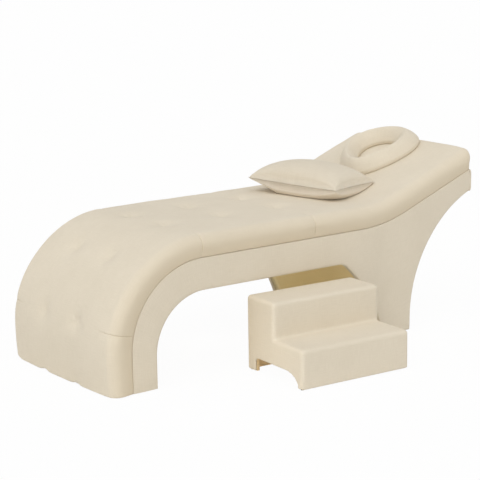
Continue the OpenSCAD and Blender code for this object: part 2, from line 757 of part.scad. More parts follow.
// Closed solid between two grids that share a rim
module sheets(upper, lower, nu, nv) {
    n = len(upper);
    w = nv + 1;
    cells = [for (i = [0:nu - 1], j = [0:nv - 1]) i * w + j];
    rim = concat([for (j = [0:nv - 1]) j], [for (i = [0:nu - 1]) i * w + nv],
        [for (j = [nv:-1:1]) nu * w + j], [for (i = [nu:-1:1]) i * w]);
    m = len(rim);
    polyhedron(concat(upper, lower), concat(
        [for (c = cells) each [[c, c + w + 1, c + 1], [c, c + w, c + w + 1]]],
        [for (c = cells) each [[n + c, n + c + 1, n + c + w + 1], [n + c, n + c + w + 1, n + c + w]]],
        [for (k = [0:m - 1]) let (a = rim[k], b = rim[(k + 1) % m])
            each [[a, n + b, n + a], [a, b, n + b]]]));
}
under_share = 1.1;
inner_share = 0.97;
fill_share = 0.94;
seam_slit = soft_gap / 4;
fill_margin = pillow_cloth_t + soft_gap;
module pillow_top() {
    at_origin() color(FABRIC) sheets(pillow_sheet(1, 1, pillow_cloth_t, 0),
        pillow_sheet(1, inner_share, seam_slit, pillow_cloth_t), pillow_nu, pillow_nv);
}
module pillow_bottom() {
    at_origin() color(FABRIC) sheets(pillow_sheet(-1, inner_share, seam_slit, pillow_cloth_t),
        pillow_sheet(-1, 1, pillow_cloth_t, 0), pillow_nu, pillow_nv);
}
module pillow_filling() {
    at_origin() color(FOAM) sheets(pillow_sheet(1, fill_share, 0, fill_margin, 1),
        pillow_sheet(-1, fill_share, 0, fill_margin, 1), pillow_nu - 2, pillow_nv - 2);
}

// Stool, drawn square with its front left corner at zero, then put in its place
module at_stool() {
    at_origin() translate([stool_x, -stool_out, 0]) rotate([0, 0, stool_turn]) children();
}
low_top = step_h - step_pad_t - stool_board_t;
high_top = stool_h - step_pad_t - stool_board_t;
riser_y = step_d + clad_t;
arch_back = stool_d - back_foot;
arch_back_r = stool_arch_r / 3;
side_in = clad_t + stool_board_t;
arch_start_a = acos((stool_arch_r - stool_arch_h + glide_t) / stool_arch_r);
function stool_arch(y_in) = concat(
    [[arch_back, glide_t]],
    [for (a = [0:15:90]) [arch_back, stool_arch_h] + arch_back_r * [cos(a) - 1, sin(a) - 1]],
    [for (a = [90:15:180]) [front_foot, stool_arch_h] + stool_arch_r * [cos(a) + 1, sin(a) - 1]],
    [[front_foot, glide_t]]);
function side_outline(front, back, low, high, step) = concat(
    [[front, glide_t], [front, low], [step, low], [step, high], [back, high], [back, glide_t]],
    stool_arch(0));
module upright(outline, x0, t) {
    translate([x0, 0, 0]) rotate([90, 0, 90]) linear_extrude(t) polygon(outline);
}
board_outline = side_outline(clad_t, stool_d - clad_t, low_top, high_top, riser_y);
padding_outline = side_outline(clad_t, stool_d - clad_t, low_top + stool_board_t,
    high_top + stool_board_t, riser_y);

// Screws down through the treads into the side boards
tack_r = 2;
tack_l = 3 * stool_board_t;
tack_in = 3 * stool_board_t;
tack_x = [clad_t + stool_board_t / 2, stool_w - clad_t - stool_board_t / 2];
low_tack_y = [clad_t + tack_in, riser_y - tack_in];
high_tack_y = [riser_y + tack_in, stool_d - clad_t - tack_in];
module tacks(grow = 0) {
    for (x = tack_x) {
        for (y = low_tack_y) translate([x, y, low_top + stool_board_t - tack_l])
            cylinder(h = tack_l, r = tack_r + grow, $fn = round_fn);
        for (y = high_tack_y) translate([x, y, high_top + stool_board_t - tack_l])
            cylinder(h = tack_l, r = tack_r + grow, $fn = round_fn);
    }
}
module stool_side(x0) {
    at_stool() color(PLY) difference() {
        upright(board_outline, x0, stool_board_t);
        tacks(hole_gap);
    }
}
module stool_left_board() {
    stool_side(clad_t);
}
module stool_right_board() {
    stool_side(stool_w - clad_t - stool_board_t);
}
module cross_board(y0, z0, z1) {
    at_stool() color(PLY) translate([side_in, y0, z0])
        cube([stool_w - 2 * side_in, stool_board_t, z1 - z0]);
}
module stool_lower_riser() {
    cross_board(clad_t, glide_t, low_top);
}
module stool_upper_riser() {
    cross_board(riser_y, low_top, high_top);
}
module stool_back_board() {
    cross_board(stool_d - clad_t - stool_board_t, glide_t, high_top);
}
module tread(y0, y1, z) {
    at_stool() color(PLY) difference() {
        translate([clad_t, y0, z]) cube([stool_w - 2 * clad_t, y1 - y0, stool_board_t]);
        tacks(hole_gap);
    }
}
module stool_lower_tread() {
    tread(clad_t, riser_y, low_top);
}
module stool_upper_tread() {
    tread(riser_y, stool_d - clad_t, high_top);
}
block_w = 2 * stool_board_t;
module stool_corner_blocks() {
    at_stool() color(TIMBER)
        for (x = [side_in, stool_w - side_in - block_w]) {
            translate([x, side_in, stool_arch_h]) cube([block_w, block_w, low_top - stool_arch_h]);
            translate([x, stool_d - side_in - block_w, stool_arch_h])
                cube([block_w, block_w, high_top - stool_arch_h]);
        }
}
module stool_screws() {
    at_stool() color(STEEL) tacks();
}
module stool_glides() {
    at_stool() color(RUBBER)
        for (x = tack_x, y = [side_in, stool_d - side_in])
            translate([x, y, 0]) cylinder(h = glide_t, r = stool_board_t / 2, $fn = round_fn);
}
// Thin padding round the stool, with rounded upright corners
module clad_plan(x0, y0, w, front) {
    translate([x0, y0]) intersection() {
        square([w, clad_t]);
        union() {
            translate([clad_t, 0]) square([w - 2 * clad_t, clad_t]);
            for (x = [clad_t, w - clad_t])
                translate([x, front ? clad_t : 0]) circle(r = clad_t, $fn = round_fn);
        }
    }
}
module cladding(y0, z0, z1, front) {
    at_stool() color(FABRIC) translate([0, 0, z0]) linear_extrude(z1 - z0)
        clad_plan(0, y0, stool_w, front);
}
module stool_left_padding() {
    at_stool() color(FABRIC) upright(padding_outline, 0, clad_t);
}
module stool_right_padding() {
    at_stool() color(FABRIC) upright(padding_outline, stool_w - clad_t, clad_t);
}
module stool_front_padding() {
    cladding(0, glide_t, step_h - step_pad_t, true);
}
module stool_riser_padding() {
    cladding(step_d, step_h - step_pad_t, stool_h - step_pad_t, true);
}
module stool_back_padding() {
    cladding(stool_d - clad_t, glide_t, stool_h - step_pad_t, false);
}

// Step pads: a rounded slab with a crowned top
corner_fn = 3;
function round_plan(x0, x1, y0, y1, inset, r) =
    let (e = max(r - inset, seat_gap))
    [for (c = [[x1, y1, 0], [x0, y1, 90], [x0, y0, 180], [x1, y0, 270]], k = [0:corner_fn])
        let (a = c[2] + 90 * k / corner_fn)
        [c[0] + (c[0] == x1 ? -1 : 1) * (inset + e) + e * cos(a),
            c[1] + (c[1] == y1 ? -1 : 1) * (inset + e) + e * sin(a)]];
edge_angles = [0, 30, 60, 90];
module step_pad(y0, y1, z) {
    base = z + soft_gap;
    plan_r = step_edge_r;
    bow = step_edge_r / 3;
    rings = concat(
        [[bow, base], [0, base + bow]],
        [for (a = edge_angles)
            [step_edge_r * (1 - cos(a)), z + step_pad_t - bow - step_edge_r * (1 - sin(a))]],
        [[step_edge_r * 3, z + step_pad_t]]);
    at_stool() color(FABRIC) swept([for (q = rings)
        [for (p = round_plan(0, stool_w, y0, y1, q[0], plan_r * 2)) [p[0], p[1], q[1]]]]);
}
module stool_lower_step_pad() {
    step_pad(0, step_d - soft_gap, step_h - step_pad_t);
}
module stool_upper_step_pad() {
    step_pad(step_d, stool_d, stool_h - step_pad_t);
}

near_side_board();
far_side_board();
centre_rib();
foot_rails();
band_rails();
leg_rails();
head_rail();
deck_board();
arch_skin();
leg_back_skin();
frame_screws();
foot_skid();
leg_skid();
near_side_pad();
far_side_pad();
leg_back_pad();
head_end_pad();
arch_lining();
mattress_core();
mattress_foot_panel();
mattress_curve_panel();
mattress_lounge_panel();
mattress_head_panel();
mattress_head_border();
tuft_buttons();
tuft_twines();
tuft_anchors();
ring_cover();
ring_foam();
ring_base();
pillow_top();
pillow_bottom();
pillow_filling();
stool_left_board();
stool_right_board();
stool_lower_riser();
stool_upper_riser();
stool_back_board();
stool_lower_tread();
stool_upper_tread();
stool_corner_blocks();
stool_screws();
stool_glides();
stool_left_padding();
stool_right_padding();
stool_front_padding();
stool_riser_padding();
stool_back_padding();
stool_lower_step_pad();
stool_upper_step_pad();
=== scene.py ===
import json
import math

import bmesh
import bpy
from mathutils import Matrix, Vector, noise


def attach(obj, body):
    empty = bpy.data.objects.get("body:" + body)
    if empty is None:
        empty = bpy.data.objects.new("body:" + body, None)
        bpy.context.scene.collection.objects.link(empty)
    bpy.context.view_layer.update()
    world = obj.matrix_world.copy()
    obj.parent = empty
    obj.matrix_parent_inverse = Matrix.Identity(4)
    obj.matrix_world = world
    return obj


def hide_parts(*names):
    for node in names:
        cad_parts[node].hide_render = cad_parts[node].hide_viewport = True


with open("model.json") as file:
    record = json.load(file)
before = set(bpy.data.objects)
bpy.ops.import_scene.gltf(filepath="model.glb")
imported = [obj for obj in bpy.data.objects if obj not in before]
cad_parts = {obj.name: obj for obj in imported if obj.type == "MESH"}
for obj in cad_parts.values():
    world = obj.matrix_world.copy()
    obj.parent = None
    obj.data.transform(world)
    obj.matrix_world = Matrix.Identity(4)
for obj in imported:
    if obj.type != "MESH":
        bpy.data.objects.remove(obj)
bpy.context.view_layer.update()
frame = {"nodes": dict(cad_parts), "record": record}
scene = bpy.context.scene

# Sizes of the bed
ORIGIN_X = 0.1545
SKID_T = 0.003
HALF = 0.392
FRAME_HALF = 0.355
FOOT_RISE = 0.155
FOOT_R = 0.340
LOUNGE_L = 0.835
LOUNGE_FALL = math.radians(0.1)
BEND_R = 0.740
HEAD_SLOPE = math.radians(20.3)
HEAD_L = 0.412
MATTRESS_T = 0.097
CROWN = 0.008
FOOT_BAND = 0.115
LOUNGE_BAND = 0.132
ARCH_R = 0.235
CEILING_FALL = math.radians(0.4)
LEG_SETBACK = 0.125
LEG_CORNER_R = 0.075
LEG_TOP = math.radians(42)
LEG_FOOT = math.radians(76)
LEG_FOOT_W = 0.155
LEG_RISE = 0.045
HEAD_BAND = 0.097
GAP = 0.0005


def left_of(angle):
    return Vector((-math.sin(angle), math.cos(angle)))


def along(angle):
    return Vector((math.cos(angle), math.sin(angle)))


# The crease between mattress and base, as a length from the floor
foot_c = Vector((MATTRESS_T + FOOT_R, FOOT_RISE))
level_p = foot_c + FOOT_R * left_of(-LOUNGE_FALL)
bend_p = level_p + LOUNGE_L * along(-LOUNGE_FALL)
bend_c = bend_p + BEND_R * left_of(-LOUNGE_FALL)
rise_p = bend_c - BEND_R * left_of(HEAD_SLOPE)
head_end = rise_p + HEAD_L * along(HEAD_SLOPE)
foot_len = FOOT_RISE - SKID_T
s_curve = foot_len + FOOT_R * (math.pi / 2 + LOUNGE_FALL)
s_level = s_curve + LOUNGE_L
s_bend = s_level + BEND_R * (HEAD_SLOPE + LOUNGE_FALL)
s_end = s_bend + HEAD_L
head_blend = MATTRESS_T * 1.5


def crease_heading(s):
    if s < foot_len:
        return math.pi / 2
    if s < s_curve:
        return math.pi / 2 - (s - foot_len) / FOOT_R
    if s < s_level:
        return -LOUNGE_FALL
    if s < s_bend:
        return (s - s_level) / BEND_R - LOUNGE_FALL
    return HEAD_SLOPE


def crease_point(s):
    if s < foot_len:
        return Vector((MATTRESS_T, SKID_T + s))
    if s < s_curve:
        return foot_c + FOOT_R * left_of(crease_heading(s))
    if s < s_level:
        return level_p + (s - s_curve) * along(-LOUNGE_FALL)
    if s < s_bend:
        return bend_c - BEND_R * left_of(crease_heading(s))
    return rise_p + (s - s_bend) * along(HEAD_SLOPE)


def layer(s, depth):
    """Point at that height over the crease; the uprights turn vertical at the head."""
    lean = HEAD_SLOPE * max(0, s - s_end + head_blend) / head_blend
    return crease_point(s) + depth / math.cos(lean) * left_of(crease_heading(s) - lean)


def in_frame(p, y):
    return Vector((p.x - ORIGIN_X, y, p.y))


outer_r = FOOT_R + MATTRESS_T
outer_curve = (s_curve - foot_len) * outer_r / FOOT_R


def crease_s(o):
    """Length along the crease, from length along the mattress's outer surface."""
    if o < foot_len:
        return o
    if o < foot_len + outer_curve:
        return foot_len + (o - foot_len) * FOOT_R / outer_r
    return o - outer_curve + s_curve - foot_len


def surface_o(s):
    if s < foot_len:
        return s
    if s < s_curve:
        return foot_len + (s - foot_len) * outer_r / FOOT_R
    return s - s_curve + foot_len + outer_curve


# Making pieces


def finish_mesh(mesh, name):
    data = bpy.data.meshes.new(name)
    mesh.to_mesh(data)
    mesh.free()
    for face in data.polygons:
        face.use_smooth = True
    piece = bpy.data.objects.new(name, data)
    scene.collection.objects.link(piece)
    return piece


def bent_grid(name, around, length, place, shut=True):
    """A flat grid bent into a closed form. place gives a point and its place in the cloth."""
    mesh = bmesh.new()
    cloth = mesh.loops.layers.uv.new("cloth")
    bmesh.ops.create_grid(mesh, x_segments=around, y_segments=length, size=0.5)
    placed = {v: place(v.co.x + 0.5, v.co.y + 0.5) for v in mesh.verts}
    for face in mesh.faces:
        for loop in face.loops:
            loop[cloth].uv = placed[loop.vert][1]
    for vert, spot in placed.items():
        vert.co = spot[0]
    bmesh.ops.remove_doubles(mesh, verts=mesh.verts, dist=1e-6)
    if shut:
        rims = [e for e in mesh.edges if e.is_boundary]
        bmesh.ops.holes_fill(mesh, edges=rims, sides=0)
        for edge in rims:
            edge.smooth = False
    bmesh.ops.recalc_face_normals(mesh, faces=mesh.faces)
    return finish_mesh(mesh, name)


def distances(points):
    """How far along the line each of its points is."""
    walk, total = [], 0.0
    for i, p in enumerate(points):
        if i:
            total += (p - points[i - 1]).length
        walk.append(total)
    return walk


def at_share(points, walk, share):
    """The point and distance at that share of a line's length."""
    want = share * walk[-1]
    low, high = 0, len(walk) - 1
    while high - low > 1:
        mid = (low + high) // 2
        if walk[mid] <= want:
            low = mid
        else:
            high = mid
    span = max(walk[high] - walk[low], 1e-9)
    return points[low].lerp(points[high], (want - walk[low]) / span), want


def steps(a, b, n):
    """The ends of n equal steps from a to b."""
    return [a + (b - a) * i / n for i in range(1, n + 1)]


def hollow(x, spread):
    """A bell-shaped share: 1 in the middle, falling away over the spread."""
    return math.exp(-x * x / (2 * spread * spread))


def roll(distance, radius):
    """Share of the full height, on a round edge at that distance from its rim."""
    return math.sqrt(max(0, 1 - (1 - min(max(distance, 0) / radius, 1)) ** 2))


# Mattress: its tufts, each a wide hollow with a narrow one in it and pleats around
FIRST_ROW, ROW_PITCH, ROW_COUNT = 0.252, 0.290, 5
TUFT_ROWS = [FIRST_ROW + ROW_PITCH * i for i in range(ROW_COUNT)]
TUFT_Y, TUFT_REACH = 0.125, 0.15
TUFT_DEPTH, TUFT_SPREAD = 0.0140, 0.034
PIN_DEPTH, PIN_SPREAD = 0.0030, 0.013
PLEAT_DEPTH, PLEAT_COUNT, PLEAT_FROM, PLEAT_SPREAD = 0.0010, 5, 0.026, 0.014
# Its cross seams, quiet on top and plain to see at the sides
SEAMS = [TUFT_ROWS[0], TUFT_ROWS[2], TUFT_ROWS[4]]
SEAM_DEPTH, SEAM_SPREAD, SEAM_QUIET, SEAM_SHOWS = 0.0024, 0.014, 0.08, (0.27, 0.375)
SEAM_ROUND, SEAM_GAP, SEAM_BAND, STATION_STEP = 0.0025, 0.00002, 0.014, 0.0075
# Its section, head border and foot
TUCK, TUCK_POWER, TUCK_UNDER = 0.014, 1.6, 0.02
EDGE_R = 0.046
SIDE_SEGS, EDGE_SEGS, TOP_SEGS, CROWN_SEGS = 9, 10, 40, 4
BORDER_T, BORDER_SHARE, BORDER_SEAM_R = 0.024, 0.6, 0.001
FOOT_EDGE_R = 0.007
SWELL_DEPTH, SWELL_PLACE, SWELL_SPREAD = 0.012, 0.190, 0.160
LOW_H, FADE_H, TOP_H, TOP_FADE = 0.01, 0.03, 0.02, 0.05
# Its unevenness, and the hem of the foot end, which the tufts and the far corner draw up
GATHER, GATHER_REACH, RIPPLE, FINE_RIPPLE = 0.0012, 0.022, 0.0018, 0.0006
HEM_DRAW, HEM_SPREAD, HEM_REACH = 0.006, 0.020, 0.07
HEM_DIP, HEM_DIP_SPREAD, HEM_DIP_REACH = 0.004, 0.016, 0.06
CORNER_DRAW, CORNER_FROM = 0.018, 0.325


def side_line():
    """Half of the mattress's section, from the crease round to the middle line."""
    points = [Vector((0, 0)), Vector((HALF - TUCK - TUCK_UNDER, 0))]
    rise = MATTRESS_T - EDGE_R
    for i in range(SIDE_SEGS):
        drawn = TUCK * (1 - i / SIDE_SEGS) ** TUCK_POWER
        points.append(Vector((HALF - drawn, rise * i / SIDE_SEGS)))
    for i in range(EDGE_SEGS + 1):
        a = math.pi / 2 * i / EDGE_SEGS
        points.append(Vector((HALF - EDGE_R * (1 - math.cos(a)), rise + EDGE_R * math.sin(a))))
    inner = HALF - EDGE_R
    for i in range(1, TOP_SEGS + 1):
        y = inner * (1 - i / TOP_SEGS)
        crown = CROWN * (1 - (y / HALF) ** 2) * min(1, i / CROWN_SEGS)
        points.append(Vector((y, MATTRESS_T + crown)))
    return points


half_line = side_line()
half_walk = distances(half_line)
NORMAL_STEP = 0.002


def section_point(share):
    """Point of the whole section at that share of its girth, with its normal and length."""
    mirrored = share > 0.5
    k = (1 - share if mirrored else share) * 2
    p, d = at_share(half_line, half_walk, k)
    q, _ = at_share(half_line, half_walk, min(k + NORMAL_STEP, 1))
    r, _ = at_share(half_line, half_walk, max(k - NORMAL_STEP, 0))
    run = (q - r).normalized()
    out = Vector((run.y, -run.x))
    if mirrored:
        return Vector((-p.x, p.y)), Vector((-out.x, out.y)), 2 * half_walk[-1] - d
    return p, out, d


def swell(o):
    """Extra fullness low on the foot end."""
    return SWELL_DEPTH * hollow(o - SWELL_PLACE, SWELL_SPREAD)


def ease(x, low, high):
    """A share that goes softly from 0 at low to 1 at high."""
    k = min(1, max(0, (x - low) / (high - low)))
    return k * k * (3 - 2 * k)


def dip(o, y, h):
    """How far the tufts and seams draw the cover in; the seams show most at the sides."""
    on_top = min(1, max(0, (h - TOP_H) / TOP_FADE))
    seam = max(math.exp(-abs(o - q) / SEAM_SPREAD) for q in SEAMS)
    drawn = SEAM_DEPTH * seam * (SEAM_QUIET + (1 - SEAM_QUIET) * ease(abs(y), *SEAM_SHOWS))
    for row in TUFT_ROWS:
        if abs(o - row) > TUFT_REACH:
            continue
        r = math.hypot(o - row, abs(y) - TUFT_Y)
        wide = TUFT_DEPTH * hollow(r, TUFT_SPREAD)
        narrow = PIN_DEPTH * hollow(r, PIN_SPREAD)
        turn = math.atan2(o - row, abs(y) - TUFT_Y)
        fold = math.cos(PLEAT_COUNT * turn + 3 * row)
        pleat = PLEAT_DEPTH * fold * hollow(r - PLEAT_FROM, PLEAT_SPREAD)
        drawn = max(drawn, (wide + narrow + pleat) * on_top)
    low = hollow(abs(y) - TUFT_Y, HEM_DIP_SPREAD) * max(0, 1 - o / HEM_DIP_REACH)
    return drawn + HEM_DIP * low * on_top


def ripple(o, y, h):
    """Small unevenness of the cloth, stronger beside the seams."""
    near = max(hollow(o - q, GATHER_REACH) for q in SEAMS) * ease(abs(y), 0.2, 0.37)
    gather = GATHER * near * noise.noise(Vector((o * 9, y * 75, h * 40)))
    soft = RIPPLE * noise.noise(Vector((o * 7 + 3, y * 8, h * 9)))
    soft += FINE_RIPPLE * noise.noise(Vector((o * 19, y * 21 + 5, h * 17)))
    return gather + soft


def hem(y):
    """How far the foot end's lower edge is drawn up: at the tufts, and at the far corner alone."""
    return (HEM_DRAW * hollow(abs(y) - TUFT_Y, HEM_SPREAD)
            + CORNER_DRAW * ease(y, CORNER_FROM, HALF))


def panel_stations(start, end):
    """Places along a panel, close together at its two seams."""
    reach = min(SEAM_BAND, (end - start) / 2.5)
    close = [reach * k for k in (0, 0.04, 0.13, 0.25, 0.4, 0.65, 1)]
    count = max(2, round((end - start - 2 * reach) / STATION_STEP))
    middle = [start + reach + d for d in steps(0, end - start - 2 * reach, count)][:-1]
    return [start + d for d in close] + middle + [end - d for d in reversed(close)]


GIRTH_SEGS = 150
UNDER_CELLS = 0.04


def girth_share(a):
    """Fewer segments on the underside than on the top and sides."""
    under = 0.95 * (HALF - TUCK) / (2 * half_walk[-1])
    if a < UNDER_CELLS:
        return a / UNDER_CELLS * under
    if a > 1 - UNDER_CELLS:
        return 1 - (1 - a) / UNDER_CELLS * under
    return under + (a - UNDER_CELLS) / (1 - 2 * UNDER_CELLS) * (1 - 2 * under)


def mattress_piece(name, start, end, round_start, round_end):
    """One sewn panel, from one length on the surface to another, with its two ends rounded."""
    stations = panel_stations(start, end)
    last = len(stations) - 1

    def place(a, b):
        o = stations[round(b * last)]
        p, out, girth = section_point(girth_share(a))
        inset = 0.0
        for near, radius in ((o - start, round_start), (end - o, round_end)):
            if radius == SEAM_ROUND:
                radius *= SEAM_QUIET + ease(abs(p.x), *SEAM_SHOWS)
            if near < radius:
                share = BORDER_SHARE if radius == BORDER_T else 1
                depth = radius * share * min(1, 0.1 + p.y / FADE_H)
                inset = max(inset, depth * (1 - roll(near, radius)))
        lift = ripple(o, p.x, p.y) * min(1, p.y / FADE_H) if p.y > 0.001 else 0
        moved = p - out * (dip(o, p.x, p.y) * min(1, p.y / LOW_H) + inset) + out * lift
        moved.y = max(moved.y + swell(o) * min(1, p.y / (MATTRESS_T - EDGE_R)), GAP)
        raised = max(0, 1 - o / HEM_REACH) * hem(moved.x)
        return in_frame(layer(crease_s(o + raised), moved.y), moved.x), (girth, o)

    piece = bent_grid(name, GIRTH_SEGS, last, place)
    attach(piece, "bed")
    return piece


border_o = surface_o(s_end - BORDER_T)
foot_cushion = mattress_piece("foot_cushion", 0.0, SEAMS[0] - SEAM_GAP, FOOT_EDGE_R, SEAM_ROUND)
curve_cushion = mattress_piece("curve_cushion", SEAMS[0] + SEAM_GAP, SEAMS[1] - SEAM_GAP,
                               SEAM_ROUND, SEAM_ROUND)
lounge_cushion = mattress_piece("lounge_cushion", SEAMS[1] + SEAM_GAP, SEAMS[2] - SEAM_GAP,
                                SEAM_ROUND, SEAM_ROUND)
head_cushion = mattress_piece("head_cushion", SEAMS[2] + SEAM_GAP, border_o - SEAM_GAP,
                              SEAM_ROUND, BORDER_SEAM_R)
head_border = mattress_piece("head_border", border_o + SEAM_GAP, surface_o(s_end),
                             BORDER_SEAM_R, BORDER_T)
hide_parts("mattress_foot_panel")
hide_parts("mattress_curve_panel")
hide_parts("mattress_lounge_panel", "mattress_core")
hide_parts("mattress_head_panel")
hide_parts("mattress_head_border")

# Tuft buttons, covered in the same cloth
BUTTON_R, BUTTON_SINK, BUTTON_FLAT = 0.011, 0.0025, 0.42


def buttons():
    mesh = bmesh.new()
    for row in TUFT_ROWS:
        for side in (-1, 1):
            s = crease_s(row)
            high = MATTRESS_T + swell(row) + CROWN * (1 - (TUFT_Y / HALF) ** 2)
            p = layer(s, high - dip(row, TUFT_Y, MATTRESS_T) - BUTTON_SINK)
            turn = Matrix.Rotation(-crease_heading(s), 4, "Y")
            spot = Matrix.Translation(in_frame(p, side * TUFT_Y))
            bmesh.ops.create_uvsphere(mesh, u_segments=24, v_segments=12, radius=BUTTON_R,
                                      matrix=spot @ turn @ Matrix.Diagonal((1, 1, BUTTON_FLAT, 1)))
    bmesh.ops.recalc_face_normals(mesh, faces=mesh.faces)
    piece = finish_mesh(mesh, "tuft_button_covers")
    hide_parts("tuft_buttons")
    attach(piece, "bed")
    return piece


button_covers = buttons()

# Outlines of the base: the arch below, and the back of the leg
arch_c = Vector((MATTRESS_T + FOOT_BAND + ARCH_R, FOOT_RISE + FOOT_R - LOUNGE_BAND - ARCH_R))
ceiling_p = arch_c + ARCH_R * left_of(-CEILING_FALL)
ceiling_len = (bend_p.x - LEG_SETBACK - ceiling_p.x) / math.cos(CEILING_FALL)
corner_p = ceiling_p + ceiling_len * along(-CEILING_FALL)
corner_c = corner_p - LEG_CORNER_R * left_of(-CEILING_FALL)
leg_p = corner_c + LEG_CORNER_R * left_of(-LEG_TOP)
leg_r = (leg_p.y - SKID_T) / (math.cos(LEG_TOP) - math.cos(LEG_FOOT))
leg_c = leg_p - leg_r * left_of(-LEG_TOP)
leg_in_x = leg_c.x + leg_r * math.sin(LEG_FOOT)
leg_back_x = leg_in_x + LEG_FOOT_W
head_low = head_end.y - HEAD_BAND
back_run = head_end.x - leg_back_x
back_climb = head_low - LEG_RISE
back_r = (back_run ** 2 + back_climb ** 2) / (2 * back_run)
back_c = Vector((leg_back_x + back_r, LEG_RISE))
back_end = math.atan2(back_r - back_run, back_climb)
FINE = 4
FOOT_SEGS, LEVEL_SEGS, CORNER_SEGS = 18 * FINE, 6 * FINE, 4 * FINE
LEG_SEGS, SOLE_SEGS, BACK_SEGS = 6 * FINE, 5 * FINE, 10 * FINE


def arch_line(depth):
    """The arch's outline, that deep into the base."""
    points = [Vector((arch_c.x - ARCH_R - depth, SKID_T))]
    turns = [math.pi / 2] + steps(math.pi / 2, -CEILING_FALL, FOOT_SEGS)
    points += [arch_c + (ARCH_R + depth) * left_of(a) for a in turns]
    points += [ceiling_p + d * along(-CEILING_FALL) + depth * left_of(-CEILING_FALL)
               for d in steps(0, ceiling_len, LEVEL_SEGS)]
    points += [corner_c + (LEG_CORNER_R + depth) * left_of(a)
               for a in steps(-CEILING_FALL, -LEG_TOP, CORNER_SEGS)]
    points += [leg_c + (leg_r + depth) * left_of(a)
               for a in steps(-LEG_TOP, -LEG_FOOT, LEG_SEGS)]
    return points


def back_line(depth):
    """The outline of the leg's back, that deep into the base."""
    turns = [math.pi / 2] + steps(math.pi / 2, back_end, BACK_SEGS)
    return [Vector((leg_back_x - depth, SKID_T))] + [back_c + (back_r + depth) * left_of(a)
                                                     for a in turns]


# Padded sides, from the crease down to the base's lower edge
lead_s = s_curve + (corner_p.x - level_p.x) / math.cos(LOUNGE_FALL) + LEG_CORNER_R / 4
front_s = lead_s + (s_end - lead_s) * 0.3
back_s = lead_s + (s_end - lead_s) * 0.5
upper_s = [0, foot_len] + steps(foot_len, s_curve, FOOT_SEGS) + steps(s_curve, lead_s, LEVEL_SEGS)
upper_s += steps(lead_s, front_s, CORNER_SEGS + LEG_SEGS) + steps(front_s, back_s, SOLE_SEGS)
upper_s += steps(back_s, s_end, BACK_SEGS + 1)
foot_xs = steps(leg_in_x, leg_back_x, SOLE_SEGS)[:-1]
lower_line = arch_line(0) + [Vector((x, SKID_T)) for x in foot_xs] + back_line(0)
upper_line = [layer(s, 0) for s in upper_s]
SIDE_T, SIDE_EDGE, SIDE_ROUND, SIDE_WAVE = 0.026, 0.0225, 0.0585, 0.024
UPPER_RIM, UPPER_RIM_R = 0.95, 0.008
LOWER_RIM, LOWER_RIM_R = 0.80, 0.011
SIDE_CELLS, SIDE_SHOWN = 36, 31


def side_bulge(d, span):
    """How thick the pad is, that far down from the crease."""
    rim = min(UPPER_RIM + (1 - UPPER_RIM) * roll(d, UPPER_RIM_R),
              LOWER_RIM + (1 - LOWER_RIM) * roll(span - d, LOWER_RIM_R))
    return SIDE_EDGE * rim + (SIDE_T - SIDE_EDGE) * roll(min(d, span - d), SIDE_ROUND)


def side_cushion(name, side, node):
    last = len(upper_line) - 1
    walk = distances(lower_line)

    def place(a, b):
        i, k = round(b * last), round(a * SIDE_CELLS)
        top, low = upper_line[i], lower_line[i]
        span = (low - top).length
        if 0 < k <= SIDE_SHOWN:
            share = (1 - math.cos(math.pi * (k - 1) / (SIDE_SHOWN - 1))) / 2
            p = top.lerp(low, share)
            bulge = side_bulge(share * span, span)
            wave = SIDE_WAVE * noise.noise(Vector((p.x * 7, p.y * 7, side * 5)))
            y = FRAME_HALF + GAP + bulge * (1 + wave)
            return in_frame(p, side * y), (share * span, walk[i])
        share = 0 if k == 0 else (SIDE_CELLS - k) / (SIDE_CELLS - SIDE_SHOWN - 1)
        return in_frame(top.lerp(low, share), side * (FRAME_HALF + GAP)), (-share * span, walk[i])

    piece = bent_grid(name, SIDE_CELLS, last, place)
    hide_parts(node)
    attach(piece, "bed")
    return piece


near_side = side_cushion("near_side_cushion", -1, "near_side_pad")
far_side = side_cushion("far_side_cushion", 1, "far_side_pad")

# Pads across the back of the leg and the head end
BACK_T, HEAD_T = 0.016, 0.018
PAD_CELLS, PAD_SHOWN, PAD_END, PAD_END_R = 60, 0.6, 0.46, 0.042
HEAD_PAD_HALF, HEAD_PAD_SEGS = HALF - 0.0105, 16
HEAD_PAD_LIP, HEAD_PAD_R = 0.3, 0.022


def across_cushion(name, node, outer, inner, half, depth_share):
    """A pad across the bed, domed towards its two ends."""
    last = len(outer) - 1
    walk = distances(outer)

    def place(a, b):
        i = round(b * last)
        if a <= PAD_SHOWN:
            y = half * math.sin(math.pi * (a / PAD_SHOWN - 0.5))
            domed = PAD_END + (1 - PAD_END) * roll(half - abs(y), PAD_END_R)
            full = depth_share(i, last) * domed
            return in_frame(inner[i].lerp(outer[i], full), y), (y, walk[i])
        y = half * (1 - 2 * (a - PAD_SHOWN) / (1 - PAD_SHOWN))
        return in_frame(inner[i], y), (y + 2, walk[i])

    piece = bent_grid(name, PAD_CELLS, last, place)
    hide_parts(node)
    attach(piece, "bed")
    return piece


leg_back = across_cushion("leg_back_cushion", "leg_back_pad", back_line(0),
                          back_line(BACK_T - GAP), FRAME_HALF - GAP, lambda i, last: 1)
head_heights = [head_low + HEAD_BAND * (k / HEAD_PAD_SEGS) for k in range(HEAD_PAD_SEGS + 1)]


def head_pad_share(i, last):
    """How full the head end's pad is, thinner at its upper and lower lips."""
    rounded = roll(min(i, last - i) / last * HEAD_BAND, HEAD_PAD_R)
    return HEAD_PAD_LIP + (1 - HEAD_PAD_LIP) * rounded


head_end_cushion = across_cushion(
    "head_end_cushion", "head_end_pad",
    [Vector((head_end.x + GAP + HEAD_T, z)) for z in head_heights],
    [Vector((head_end.x + GAP, z)) for z in head_heights], HEAD_PAD_HALF, head_pad_share)

